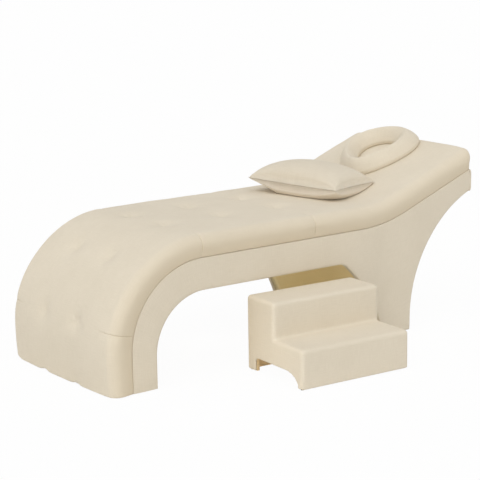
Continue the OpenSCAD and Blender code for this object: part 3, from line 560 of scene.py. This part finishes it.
# Cloth lining of the arch; its deep golden colour is partly the lining's own and partly painted
# shade
LINING_T, LINING_CELLS = 0.002, 24


def arch_cloth():
    outer, inner = arch_line(0), arch_line(LINING_T)
    last = len(outer) - 1
    walk = distances(outer)
    half = FRAME_HALF - GAP

    def place(a, b):
        i = round(b * last)
        if a <= 0.5:
            y = half * (4 * a - 1)
            return in_frame(outer[i], y), (y, walk[i])
        y = half * (3 - 4 * a)
        return in_frame(inner[i].lerp(outer[i], 0.1), y), (y, walk[i])

    piece = bent_grid("arch_cloth", LINING_CELLS, last, place)
    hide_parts("arch_lining")
    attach(piece, "bed")
    return piece


arch_lining = arch_cloth()

# Ring face cushion, lying on the head rest
RING_HALF_L, RING_HALF_W = 0.209, 0.179
HOLE_HALF_L, HOLE_HALF_W = 0.112, 0.085
RING_H, RING_WALL = 0.066, 0.018
RING_BACK, RING_ASIDE = 0.207, 0.027
RING_TURN = math.radians(18.7)
RING_FLARE = 0.3
RING_BASE_T, RING_GAP = 0.0025, 0.0003
RING_CELLS, RING_ROUND = 144, 6.283
DOME_POWER, LIP_H, LIP_SHARE = 1.5, 0.004, 0.2
RING_SEAM_DEPTH, RING_SEAM_SPREAD, RING_PUFF = 0.003, 0.006, 0.0012
RING_CLOTH_W, RING_CLOTH_L = 0.14, 0.9
rest_o = head_end + Vector((0, MATTRESS_T / math.cos(HEAD_SLOPE)))


def on_rest(length, y, height):
    lift = CROWN * (1 - (y / HALF) ** 2) + RING_GAP + height
    return in_frame(rest_o + length * along(HEAD_SLOPE) + lift * left_of(HEAD_SLOPE), y)


def ring_spot(turn, v, height):
    a = turn * 2 * math.pi
    length = (HOLE_HALF_L + (RING_HALF_L - HOLE_HALF_L) * v) * math.cos(a)
    width = (HOLE_HALF_W + (RING_HALF_W - HOLE_HALF_W) * v) * math.sin(a)
    width *= 1 + RING_FLARE * math.cos(a)
    y = RING_ASIDE + length * math.sin(RING_TURN) + width * math.cos(RING_TURN)
    far = length * math.cos(RING_TURN) - width * math.sin(RING_TURN) - RING_BACK
    return on_rest(far, y, height)


def ring_dome(v):
    dome = (RING_H - RING_WALL) * (1 - abs(2 * v - 1) ** DOME_POWER)
    return RING_WALL + dome + LIP_H * roll(min(v, 1 - v), LIP_SHARE)


RING_SEAMS = [0.42, 0.88]


def ring_piece(name, nodes, section, segs):
    count = len(section) - 1

    def place(a, b):
        v, h = section[round(a * count)]
        groove = max(math.exp(-abs((b - q + 0.5) % 1 - 0.5) / RING_SEAM_SPREAD) for q in RING_SEAMS)
        drop = RING_SEAM_DEPTH * groove if h > RING_WALL * 0.8 else 0
        turn = RING_ROUND * b
        puff = RING_PUFF * noise.noise(Vector((math.cos(turn) * 3, math.sin(turn) * 3, v * 2)))
        raised = h - drop + (puff if h > RING_WALL else 0)
        return ring_spot(b, v, raised), (v * RING_CLOTH_W, b * RING_CLOTH_L)

    piece = bent_grid(name, count, segs, place, shut=False)
    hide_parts(*nodes)
    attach(piece, "face_ring")
    return piece


def ring_section():
    """The cover's section, as shares of the ring's width with their heights."""
    low = RING_BASE_T + RING_GAP
    wall = [(0.045, low), (0.012, low + 0.0015), (0, 0.008)]
    wall += [(0, h) for h in (0.0115, 0.015, 0.017)]
    shares = [0.008, 0.02, 0.05] + steps(0.05, 0.95, 22) + [0.98, 0.992]
    top = [(v, ring_dome(v)) for v in shares]
    other = [(1 - v, h) for v, h in reversed(wall)]
    under = [(k, low) for k in (0.8, 0.6, 0.4, 0.2, 0.045)]
    return wall + top + other + under


ring_cushion = ring_piece("ring_cushion", ["ring_cover", "ring_foam"], ring_section(),
                          RING_CELLS)
base_section = [(0.04, 0), (0.03, 0.0012), (0.04, RING_BASE_T)] + [
    (k, RING_BASE_T) for k in steps(0.04, 0.96, 8)] + [(0.97, 0.0012), (0.96, 0)] + [
    (k, 0) for k in (0.75, 0.5, 0.25, 0.04)]
ring_cloth = ring_piece("ring_base_cloth", ["ring_base"], base_section, RING_CELLS)

# Pillow: two cloth panels sewn at the rim and blown up
PILLOW_L, PILLOW_W = 0.487, 0.275
PILLOW_X, PILLOW_Y = head_end.x - 0.597, 0.017
PILLOW_TURN = math.radians(12.3)
PILLOW_UP, PILLOW_SEAM_H, PILLOW_FIN = 0.092, 0.050, 0.005
PILLOW_CELLS, PILLOW_LIE = {0: 48, 1: 84}, 0.0006
FULL_POWER, CORNER_THIN, SIDE_PULL = 0.34, 0.4, 0.04
PILLOW_BELLY, PILLOW_PUCKER, PILLOW_RIM = 0.060, 0.0012, 0.0012
LOWER_FULL, TIP_LIFT = 1.75, 0.012


def rest_height(x, y):
    """Height of the mattress under a point, in the outline's own x."""
    low, high = s_level - LOUNGE_L / 2, s_end
    for _ in range(30):
        mid = (low + high) / 2
        if layer(mid, MATTRESS_T).x < x:
            low = mid
        else:
            high = mid
    return layer(low, MATTRESS_T).y + CROWN * (1 - (y / HALF) ** 2)


def pillow():
    """Two blown-up panels; their outermost row of cells is the fin that the seam makes."""
    seam_z = rest_height(PILLOW_X, PILLOW_Y) + PILLOW_SEAM_H
    mesh = bmesh.new()
    cloth = mesh.loops.layers.uv.new("cloth")
    for side in (1, -1):
        grid = bmesh.ops.create_grid(mesh, x_segments=PILLOW_CELLS[0],
                                     y_segments=PILLOW_CELLS[1], size=0.5)
        placed = {}
        for vert in grid["verts"]:
            shares, fin = [], []
            for axis in (0, 1):
                rim, c = 0.5 - 1 / PILLOW_CELLS[axis], vert.co[axis]
                x = max(-0.5, min(0.5, c * 0.5 / rim))
                shares.append(math.sin(math.pi * x) * 0.5 + x)
                fin.append(PILLOW_FIN * round(c * 2) if abs(c) > rim + 1e-4 else 0)
            v, u = shares
            full = max(0, (1 - u * u) * (1 - v * v)) ** FULL_POWER
            full *= 1 - CORNER_THIN * (u * v) ** 4
            a = v * PILLOW_W / 2 * (1 - SIDE_PULL * (1 - u * u))
            b = u * PILLOW_L / 2 * (1 - SIDE_PULL * (1 - v * v))
            if side < 0:
                belly = PILLOW_BELLY * full * (1 - full)
                a, b = a + belly * v ** 5, b + belly * u ** 5
            pucker = PILLOW_PUCKER * noise.noise(Vector((a * 40, b * 40, side))) * (1 - full)
            thin = 1 - 0.55 * ease(u, 0.3, 1) - 0.3 * ease(v, 0.3, 1)
            high = PILLOW_UP if side > 0 else PILLOW_SEAM_H * LOWER_FULL * thin
            swell = high * full + pucker
            if any(fin):
                swell = 0
            elif full < 1e-6:
                swell = PILLOW_RIM
            tip = TIP_LIFT * ((1 + u) / 2) ** 2 * ((1 - v) / 2) ** 2
            placed[vert] = (a + fin[0], b + fin[1], side * swell + tip)
        for face in {f for vert in grid["verts"] for f in vert.link_faces}:
            for loop in face.loops:
                a, b, _ = placed[loop.vert]
                loop[cloth].uv = (a + 1 - side, b)
        for vert, (a, b, h) in placed.items():
            x = PILLOW_X + a * math.cos(PILLOW_TURN) - b * math.sin(PILLOW_TURN)
            y = PILLOW_Y + a * math.sin(PILLOW_TURN) + b * math.cos(PILLOW_TURN)
            z = max(seam_z + h, rest_height(x, y) + PILLOW_LIE)
            vert.co = (x - ORIGIN_X, y, z)
    bmesh.ops.remove_doubles(mesh, verts=mesh.verts, dist=1e-6)
    bmesh.ops.recalc_face_normals(mesh, faces=mesh.faces)
    piece = finish_mesh(mesh, "pillow_cushion")
    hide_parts("pillow_top", "pillow_bottom", "pillow_filling")
    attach(piece, "pillow")
    return piece


pillow_cushion = pillow()

# Stool: a padded cover over the boards, drawn square and then put in its place
STOOL_W, STOOL_D = 0.530, 0.390
STEP_H, STOOL_H, STEP_D = 0.163, 0.312, 0.197
CLAD_T, STEP_PAD_T = 0.008, 0.022
GLIDE_T = 0.003
ARCH_H, ARCH_CORNER, ARCH_SWEEP = 0.057, 0.052, 0.085
FRONT_FOOT, BACK_FOOT = 0.030, 0.062
COVER_EDGE_R, COVER_CELL, COVER_SMOOTHS = 0.015, 0.005, 3
BELOW_FLOOR, BEYOND = -0.02, 0.05
STOOL_X, STOOL_Y, STOOL_TURN = 0.623, -0.768, math.radians(-4)
stool_place = (Matrix.Translation((STOOL_X - ORIGIN_X, STOOL_Y, 0))
               @ Matrix.Rotation(STOOL_TURN, 4, "Z"))


def stool_prism(outline, x0, x1):
    """A solid across the stool from its side outline."""
    mesh = bmesh.new()
    verts = [mesh.verts.new((x0, y, z)) for y, z in outline]
    face = mesh.faces.new(verts)
    moved = bmesh.ops.extrude_face_region(mesh, geom=[face])
    new = [v for v in moved["geom"] if isinstance(v, bmesh.types.BMVert)]
    bmesh.ops.translate(mesh, verts=new, vec=(x1 - x0, 0, 0))
    bmesh.ops.recalc_face_normals(mesh, faces=mesh.faces)
    return mesh


def soften(mesh, radius, keep):
    """Rounds the edges that keep picks."""
    edges = [e for e in mesh.edges if keep(e)]
    bmesh.ops.bevel(mesh, geom=edges, offset=radius, segments=6, profile=0.5, affect="EDGES",
                    material=-1, clamp_overlap=True)


def arch_outline(low):
    """The arch in the stool's side, open down to that height."""
    back = STOOL_D - BACK_FOOT
    turns = [math.radians(a) for a in range(0, 91, 15)]
    r = ARCH_CORNER / 3
    points = [(back, low)]
    points += [(back + r * (math.cos(a) - 1), ARCH_H + r * (math.sin(a) - 1)) for a in turns]
    points += [(FRONT_FOOT + ARCH_SWEEP * (1 + math.cos(a + math.pi / 2)),
                ARCH_H + ARCH_CORNER * (math.sin(a + math.pi / 2) - 1)) for a in turns]
    return points + [(FRONT_FOOT, low)]


def applied(piece):
    """Makes the piece's modifiers part of its mesh."""
    bpy.context.view_layer.update()
    shaped = piece.evaluated_get(bpy.context.evaluated_depsgraph_get())
    data = bpy.data.meshes.new_from_object(shaped)
    piece.modifiers.clear()
    piece.data = data


def cut(piece, tool):
    """Takes the tool's form out of the piece."""
    trim = piece.modifiers.new("cut", "BOOLEAN")
    trim.operation = "DIFFERENCE"
    trim.solver = "EXACT"
    trim.object = tool
    applied(piece)
    bpy.data.objects.remove(tool)


def stool_cover():
    outline = [(0, GLIDE_T), (0, STEP_H), (STEP_D, STEP_H), (STEP_D, STOOL_H), (STOOL_D, STOOL_H),
               (STOOL_D, GLIDE_T)]
    body = stool_prism(outline, 0, STOOL_W)

    def outer_edge(e):
        low = all(v.co.z < GLIDE_T + 1e-4 for v in e.verts)
        inner = all(abs(v.co.y - STEP_D) < 1e-4 and abs(v.co.z - STEP_H) < 1e-4 for v in e.verts)
        return not low and not inner

    soften(body, COVER_EDGE_R, outer_edge)
    cover = finish_mesh(body, "stool_cover")
    c = CLAD_T + GAP
    low_top, high_top = STEP_H - STEP_PAD_T + GAP, STOOL_H - STEP_PAD_T + GAP
    inner = [(c, BELOW_FLOOR), (c, low_top), (STEP_D + c, low_top), (STEP_D + c, high_top),
             (STOOL_D - c, high_top), (STOOL_D - c, BELOW_FLOOR)]
    cut(cover, finish_mesh(stool_prism(inner, c, STOOL_W - c), "room"))
    arch = stool_prism(arch_outline(BELOW_FLOOR), -BEYOND, STOOL_W + BEYOND)
    cut(cover, finish_mesh(arch, "arch"))
    fine = cover.modifiers.new("fine", "REMESH")
    fine.mode = "VOXEL"
    fine.voxel_size = COVER_CELL
    applied(cover)
    mesh = bmesh.new()
    mesh.from_mesh(cover.data)
    for _ in range(COVER_SMOOTHS):
        bmesh.ops.smooth_vert(mesh, verts=mesh.verts, factor=0.5, use_axis_x=True, use_axis_y=True,
                              use_axis_z=True)
    bmesh.ops.transform(mesh, matrix=stool_place, verts=mesh.verts)
    mesh.to_mesh(cover.data)
    mesh.free()
    for face in cover.data.polygons:
        face.use_smooth = True
    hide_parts("stool_left_padding", "stool_right_padding", "stool_front_padding",
                "stool_riser_padding", "stool_back_padding", "stool_lower_step_pad",
                "stool_upper_step_pad")
    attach(cover, "stool")
    return cover


stool = stool_cover()

# Materials: how the cloth is woven, and the tones of each
THREAD, THREAD_CRISP, SLUB_STRETCH, SLUB_SCALE = 0.0024, 2.5, 0.05, 400.0
CLOTH_BUMP, CLOTH_BUMP_H, FUZZ_SHARE = 0.5, 0.0006, 0.5
BROAD_SCALE, FUZZ_SCALE, SPECKLE_SCALE = 7.0, 900.0, 120.0
SLUB_TONE, BROAD_TONE, WEAVE_TONE, MIDDLE_TONE = 1.3, 0.5, 0.35, 0.35
CREAM_LIGHT, CREAM_DARK = (0.80, 0.72, 0.585), (0.70, 0.62, 0.485)
PILLOW_LIGHT, PILLOW_DARK = (0.765, 0.69, 0.56), (0.67, 0.59, 0.465)
# The arch lining's golden tones: partly its own colour, partly painted shade for the hollow under
# the bed
SHADED_LINING_LIGHT, SHADED_LINING_DARK = (0.94, 0.76, 0.40), (0.84, 0.66, 0.32)
# Painted shade: the cream that the mattress's cloth turns to towards its crease, with how far up
# and how strongly it reaches
CREASE_PAINTED_SHADE, CREASE_REACH, CREASE_POWER, CREASE_SHARE = (0.735, 0.63, 0.465), 0.12, 1.5, 0.9
# Painted light: how much lighter the pillow's lower panel is painted, and where in the cloth that
# panel starts
UNDERSIDE_PAINTED_LIGHT, LOWER_PANEL_FROM = (1.13, 1.14, 1.19), 1.0
TIMBER_GRAIN, PLY_GRAIN, GRAIN_SCALE = (3.0, 40.0, 40.0), (4.0, 4.0, 60.0), 1.6


class Net:
    """A material's or group's nodes, wired as they are added."""

    def __init__(self, tree):
        self.tree = tree

    def add(self, kind, settings=None, **inputs):
        node = self.tree.nodes.new(kind)
        for key, value in (settings or {}).items():
            setattr(node, key, value)
        for key, value in inputs.items():
            self.put(node, key, value)
        return node

    def put(self, node, key, value):
        """Sets or wires an input, given by its name or, as i0 or i1, by its number."""
        numbered = key[:1] == "i" and key[1:].isdigit()
        socket = node.inputs[int(key[1:]) if numbered else key.replace("_", " ")]
        if isinstance(value, bpy.types.NodeSocket):
            self.tree.links.new(value, socket)
        else:
            socket.default_value = value

    def math(self, operation, a, b=None, clamp=False):
        node = self.add("ShaderNodeMath", {"operation": operation, "use_clamp": clamp}, i0=a)
        if b is not None:
            self.put(node, "i1", b)
        return node.outputs[0]


def group(name, inputs, outputs):
    """An empty node group with those inputs and outputs."""
    tree = bpy.data.node_groups.new(name, "ShaderNodeTree")
    for label, kind, value in inputs:
        socket = tree.interface.new_socket(label, in_out="INPUT", socket_type=kind)
        if value is not None:
            socket.default_value = value
    for label, kind in outputs:
        tree.interface.new_socket(label, in_out="OUTPUT", socket_type=kind)
    net = Net(tree)
    return net, tree.nodes.new("NodeGroupInput"), tree.nodes.new("NodeGroupOutput")


def weave_group():
    """Plain weave: crossing threads, as a height and a tone that changes from thread to thread."""
    net, given, out = group("Plain weave", [
        ("Place", "NodeSocketVector", None), ("Thread", "NodeSocketFloat", THREAD)],
        [("Height", "NodeSocketFloat"), ("Tone", "NodeSocketFloat")])
    split = net.add("ShaderNodeSeparateXYZ", None, Vector=given.outputs["Place"])

    def wave(axis):
        half_turns = net.math("MULTIPLY", split.outputs[axis], math.pi)
        return net.math("SINE", net.math("DIVIDE", half_turns, given.outputs["Thread"]))

    wave_x, wave_y = wave("X"), wave("Y")
    crossing = net.math("MULTIPLY", net.math("MULTIPLY", wave_x, wave_y), THREAD_CRISP)
    over = net.math("ADD", crossing, 0.5, True)
    high_x, high_y = net.math("ABSOLUTE", wave_x), net.math("ABSOLUTE", wave_y)
    warp = net.math("MULTIPLY", high_x, over)
    weft = net.math("MULTIPLY", high_y, net.math("SUBTRACT", 1.0, over))
    net.tree.links.new(net.math("ADD", warp, weft), out.inputs["Height"])
    tones = []
    for long_way in ((1.0, SLUB_STRETCH, 1.0), (SLUB_STRETCH, 1.0, 1.0)):
        stretch = net.add("ShaderNodeVectorMath", {"operation": "MULTIPLY"},
                          i0=given.outputs["Place"], i1=long_way)
        slub = net.add("ShaderNodeTexNoise", {"noise_dimensions": "3D"}, Vector=stretch.outputs[0],
                       Scale=SLUB_SCALE, Detail=1.0)
        tones.append(slub.outputs["Fac"])
    net.tree.links.new(net.math("MULTIPLY", net.math("ADD", *tones), 0.5), out.inputs["Tone"])
    return net.tree


WEAVE = weave_group()


def material(name):
    """A new material with its nodes and its main shader."""
    made = bpy.data.materials.new(name)
    made.use_nodes = True
    made.node_tree.nodes.clear()
    net = Net(made.node_tree)
    shader = net.add("ShaderNodeBsdfPrincipled")
    end = net.add("ShaderNodeOutputMaterial")
    net.tree.links.new(shader.outputs[0], end.inputs[0])
    return made, net, shader


def tone_ramp(net, factor, low, high):
    """A colour from low to high."""
    mix = net.add("ShaderNodeMix", {"data_type": "RGBA"}, i0=factor)
    mix.inputs[6].default_value = (*low, 1)
    mix.inputs[7].default_value = (*high, 1)
    return mix.outputs[2]


def lay_cloth(piece, back):
    """Gives each face its place in the cloth, in metres, seen square on."""
    mesh = bmesh.new()
    mesh.from_mesh(piece.data)
    cloth = mesh.loops.layers.uv.get("cloth") or mesh.loops.layers.uv.new("cloth")
    for face in mesh.faces:
        n = back @ face.normal
        a, b = ((1, 2), (0, 2), (0, 1))[max(range(3), key=lambda k: abs(n[k]))]
        for loop in face.loops:
            spot = back @ loop.vert.co
            loop[cloth].uv = (spot[a], spot[b])
    mesh.to_mesh(piece.data)
    mesh.free()


def painted_crease_shade(net, place, colour):
    """Painted shade: the cloth colour turns darker and more golden towards the crease, found from
    the way round the mattress in the cloth's own place.
    """
    split = net.add("ShaderNodeSeparateXYZ", None, Vector=place)
    around = net.math("MINIMUM", split.outputs["X"],
                      net.math("SUBTRACT", 2 * half_walk[-1], split.outputs["X"]))
    up = net.math("DIVIDE", net.math("SUBTRACT", around, HALF - TUCK), CREASE_REACH, True)
    low = net.math("SUBTRACT", 1.0, net.math("POWER", up, CREASE_POWER))
    near = net.math("MULTIPLY", low, CREASE_SHARE)
    mix = net.add("ShaderNodeMix", {"data_type": "RGBA"}, i0=near)
    net.put(mix, "i6", colour)
    mix.inputs[7].default_value = (*CREASE_PAINTED_SHADE, 1)
    return mix.outputs[2]


def painted_underside_light(net, place, colour):
    """Painted light: the pillow's lower panel made lighter than its top, found by its place in the
    cloth, which is moved aside.
    """
    split = net.add("ShaderNodeSeparateXYZ", None, Vector=place)
    mix = net.add("ShaderNodeMix", {"data_type": "RGBA", "blend_type": "MULTIPLY"},
                  i0=net.math("GREATER_THAN", split.outputs["X"], LOWER_PANEL_FROM))
    net.put(mix, "i6", colour)
    mix.inputs[7].default_value = (*UNDERSIDE_PAINTED_LIGHT, 1)
    return mix.outputs[2]


def cloth_material(name, light, dark, paint_light_or_shade=None):
    """Woven cloth between two tones; its last argument, if given, paints light or shade into the
    colour by the place in the cloth.
    """
    made, net, shader = material(name)
    spot = net.add("ShaderNodeTexCoord")
    weave = net.add("ShaderNodeGroup", {"node_tree": WEAVE}, Place=spot.outputs["UV"],
                    Thread=THREAD)
    broad = net.add("ShaderNodeTexNoise", None, Vector=spot.outputs["Object"],
                    Scale=BROAD_SCALE, Detail=3.0)
    fuzz = net.add("ShaderNodeTexNoise", None, Vector=spot.outputs["Object"],
                   Scale=FUZZ_SCALE, Detail=2.0)
    slub = net.math("MULTIPLY", net.math("SUBTRACT", weave.outputs["Tone"], 0.5), SLUB_TONE)
    patch = net.math("MULTIPLY", net.math("SUBTRACT", broad.outputs["Fac"], 0.5), BROAD_TONE)
    tone = net.math("ADD", net.math("ADD", slub, patch),
                    net.math("MULTIPLY", weave.outputs["Height"], WEAVE_TONE))
    tone = net.math("ADD", tone, MIDDLE_TONE, True)
    colour = tone_ramp(net, tone, dark, light)
    if paint_light_or_shade:
        colour = paint_light_or_shade(net, spot.outputs["UV"], colour)
    net.put(shader, "Base_Color", colour)
    height = net.math("ADD", weave.outputs["Height"],
                      net.math("MULTIPLY", fuzz.outputs["Fac"], FUZZ_SHARE))
    raised = net.add("ShaderNodeBump", None, Height=height, Strength=CLOTH_BUMP,
                     Distance=CLOTH_BUMP_H)
    net.put(shader, "Normal", raised.outputs[0])
    net.put(shader, "Roughness", 0.92)
    net.put(shader, "Specular_IOR_Level", 0.25)
    net.put(shader, "Sheen_Weight", 0.12)
    net.put(shader, "Sheen_Roughness", 0.5)
    return made


cream_cloth = cloth_material("cream_cloth", CREAM_LIGHT, CREAM_DARK)
# The mattress's cloth, with painted shade towards its crease
mattress_cloth = cloth_material("mattress_cloth", CREAM_LIGHT, CREAM_DARK, painted_crease_shade)
# The pillow's cloth, with painted light on its lower panel
pillow_cloth = cloth_material("pillow_cloth", PILLOW_LIGHT, PILLOW_DARK, painted_underside_light)
# The arch lining's cloth, its golden tone partly painted shade
shaded_lining_cloth = cloth_material("shaded_lining_cloth", SHADED_LINING_LIGHT, SHADED_LINING_DARK)


def paint(piece, finish):
    piece.data.materials.clear()
    piece.data.materials.append(finish)


lay_cloth(stool, stool_place.to_3x3().inverted())
lay_cloth(button_covers, Matrix.Identity(3))
for piece in (foot_cushion, curve_cushion, lounge_cushion, head_cushion, head_border):
    paint(piece, mattress_cloth)
for piece in (near_side, far_side, leg_back, head_end_cushion, ring_cushion, ring_cloth,
              button_covers, stool):
    paint(piece, cream_cloth)
paint(pillow_cushion, pillow_cloth)
paint(arch_lining, shaded_lining_cloth)


def wood_material(name, light, dark, stretch):
    """Wood whose grain is drawn out along the axis with the smallest stretch."""
    made, net, shader = material(name)
    spot = net.add("ShaderNodeTexCoord")
    long_grain = net.add("ShaderNodeVectorMath", {"operation": "MULTIPLY"},
                         i0=spot.outputs["Object"], i1=stretch)
    grain = net.add("ShaderNodeTexNoise", None, Vector=long_grain.outputs[0],
                    Scale=GRAIN_SCALE, Detail=5.0)
    net.put(shader, "Base_Color", tone_ramp(net, grain.outputs["Fac"], dark, light))
    raised = net.add("ShaderNodeBump", None, Height=grain.outputs["Fac"], Strength=0.3,
                     Distance=0.0004)
    net.put(shader, "Normal", raised.outputs[0])
    net.put(shader, "Roughness", 0.65)
    return made


def plain_material(name, light, dark, roughness, metallic=0.0):
    """A finely speckled stuff, such as foam, steel, rubber or twine."""
    made, net, shader = material(name)
    spot = net.add("ShaderNodeTexCoord")
    grain = net.add("ShaderNodeTexNoise", None, Vector=spot.outputs["Object"],
                    Scale=SPECKLE_SCALE, Detail=3.0)
    net.put(shader, "Base_Color", tone_ramp(net, grain.outputs["Fac"], dark, light))
    raised = net.add("ShaderNodeBump", None, Height=grain.outputs["Fac"], Strength=0.25,
                     Distance=0.0003)
    net.put(shader, "Normal", raised.outputs[0])
    net.put(shader, "Roughness", roughness)
    net.put(shader, "Metallic", metallic)
    return made


FINISHES = {
    "plywood": wood_material("plywood", (0.80, 0.63, 0.37), (0.70, 0.53, 0.29), PLY_GRAIN),
    "timber": wood_material("timber", (0.72, 0.55, 0.35), (0.56, 0.40, 0.23), TIMBER_GRAIN),
    "foam": plain_material("foam", (0.90, 0.86, 0.68), (0.82, 0.77, 0.58), 0.95),
    "screw_steel": plain_material("screw_steel", (0.62, 0.62, 0.60), (0.48, 0.48, 0.47), 0.35,
                                  metallic=1.0),
    "skid_rubber": plain_material("skid_rubber", (0.07, 0.07, 0.07), (0.04, 0.04, 0.04), 0.8),
    "twine": plain_material("twine", (0.72, 0.66, 0.54), (0.58, 0.52, 0.41), 0.9),
    "cream_fabric": cream_cloth,
    "arch_fabric": shaded_lining_cloth,
}
for row in frame["record"]["subparts"]:
    node = frame["nodes"][row["node"]]
    if node.hide_render:
        continue
    for i in range(max(1, len(node.data.materials))):
        if i < len(node.data.materials):
            node.data.materials[i] = FINISHES[row["material_slot"]]
        else:
            node.data.materials.append(FINISHES[row["material_slot"]])

# Floor and light
FLOOR_REACH, FLOOR_WHITE, WORLD_LIGHT = 120, 0.96, 0.57


def seen_share(net):
    """1 where the picture sees something, also by way of metal or glass, and 0 for its light."""
    rays = net.add("ShaderNodeLightPath")
    passed_on = net.math("MAXIMUM", rays.outputs["Is Glossy Ray"],
                         rays.outputs["Is Transmission Ray"])
    return net.math("MAXIMUM", rays.outputs["Is Camera Ray"], passed_on)


floor_mesh = bmesh.new()
bmesh.ops.create_grid(floor_mesh, x_segments=1, y_segments=1, size=FLOOR_REACH)
floor = finish_mesh(floor_mesh, "floor")
floor_paint, floor_net, floor_shader = material("pale_floor")
floor_net.put(floor_shader, "Base_Color", (0.85, 0.845, 0.83, 1))
floor_net.put(floor_shader, "Roughness", 0.9)
floor_net.put(floor_shader, "Specular_IOR_Level", 0.1)
# The picture sees the floor mostly as plain white, with a faint shadow left on it
floor_share = floor_net.math("MULTIPLY", seen_share(floor_net), FLOOR_WHITE)
floor_white = floor_net.add("ShaderNodeEmission", None, Color=(1, 1, 1, 1), Strength=1.0)
floor_mix = floor_net.add("ShaderNodeMixShader", None, i0=floor_share,
                          i1=floor_shader.outputs[0], i2=floor_white.outputs[0])
floor_end = next(n for n in floor_paint.node_tree.nodes if n.type == "OUTPUT_MATERIAL")
floor_net.tree.links.new(floor_mix.outputs[0], floor_end.inputs[0])
paint(floor, floor_paint)

world = bpy.data.worlds.new("studio")
scene.world = world
world.use_nodes = True
world.node_tree.nodes.clear()
sky = Net(world.node_tree)
strength = sky.math("ADD", sky.math("MULTIPLY", seen_share(sky), 1 - WORLD_LIGHT), WORLD_LIGHT)
back = sky.add("ShaderNodeBackground", None, Color=(1, 1, 1, 1), Strength=strength)
sky_out = sky.add("ShaderNodeOutputWorld")
sky.tree.links.new(back.outputs[0], sky_out.inputs[0])


def sun(name, heading, height, power, spread):
    """A soft lamp that shines from that heading and height, in degrees."""
    data = bpy.data.lights.new(name, "SUN")
    data.energy = power
    data.angle = math.radians(spread)
    lamp = bpy.data.objects.new(name, data)
    a, e = math.radians(heading), math.radians(height)
    away = Vector((math.cos(a) * math.cos(e), math.sin(a) * math.cos(e), math.sin(e)))
    lamp.rotation_euler = away.to_track_quat("Z", "Y").to_euler()
    scene.collection.objects.link(lamp)


def glow(name, place, power, size):
    """A faint round lamp in a hollow that the other lights hardly reach."""
    data = bpy.data.lights.new(name, "POINT")
    data.energy = power
    data.shadow_soft_size = size
    lamp = bpy.data.objects.new(name, data)
    lamp.location = place
    scene.collection.objects.link(lamp)


def spot(name, place, aim, power, cone):
    """A soft lamp with a narrow cone."""
    data = bpy.data.lights.new(name, "SPOT")
    data.energy = power
    data.spot_size = math.radians(cone)
    data.spot_blend = 1.0
    data.shadow_soft_size = 0.25
    lamp = bpy.data.objects.new(name, data)
    lamp.location = place
    lamp.rotation_euler = (Vector(place) - Vector(aim)).to_track_quat("Z", "Y").to_euler()
    scene.collection.objects.link(lamp)


sun("key", heading=-152, height=56, power=0.98, spread=60)
sun("fill", heading=-122, height=16, power=0.75, spread=110)
spot("stool_side_light", place=(-2.5, -0.92, 0.5), aim=(0.33, -0.62, 0.16), power=60, cone=15)
glow("stool_inside_light", place=stool_place @ Vector((0.26, 0.19, 0.09)), power=0.35, size=0.03)
glow("arch_light", place=(0.60, 0.05, 0.16), power=0.45, size=0.08)

# Camera, at the photograph's place
CAMERA_PLACE, CAMERA_LENS, CAMERA_SENSOR, CAMERA_REACH = (-3.0885, -5.138, 1.798), 113.56, 36, 400
yaw, pitch, tilt = math.radians(36.782), math.radians(11.948), math.radians(-0.978)
look = Vector((math.sin(yaw) * math.cos(pitch), math.cos(yaw) * math.cos(pitch), -math.sin(pitch)))
level_right = Vector((math.cos(yaw), -math.sin(yaw), 0))
level_up = level_right.cross(look)
right = level_right * math.cos(tilt) + level_up * math.sin(tilt)
up = level_up * math.cos(tilt) - level_right * math.sin(tilt)
camera_data = bpy.data.cameras.new("camera")
camera_data.sensor_width = CAMERA_SENSOR
camera_data.lens = CAMERA_LENS
camera_data.clip_end = CAMERA_REACH
camera = bpy.data.objects.new("camera", camera_data)
turn = Matrix((right, up, -look)).transposed().to_4x4()
camera.matrix_world = Matrix.Translation(CAMERA_PLACE) @ turn
scene.collection.objects.link(camera)
scene.camera = camera
scene.view_settings.view_transform = "Standard"
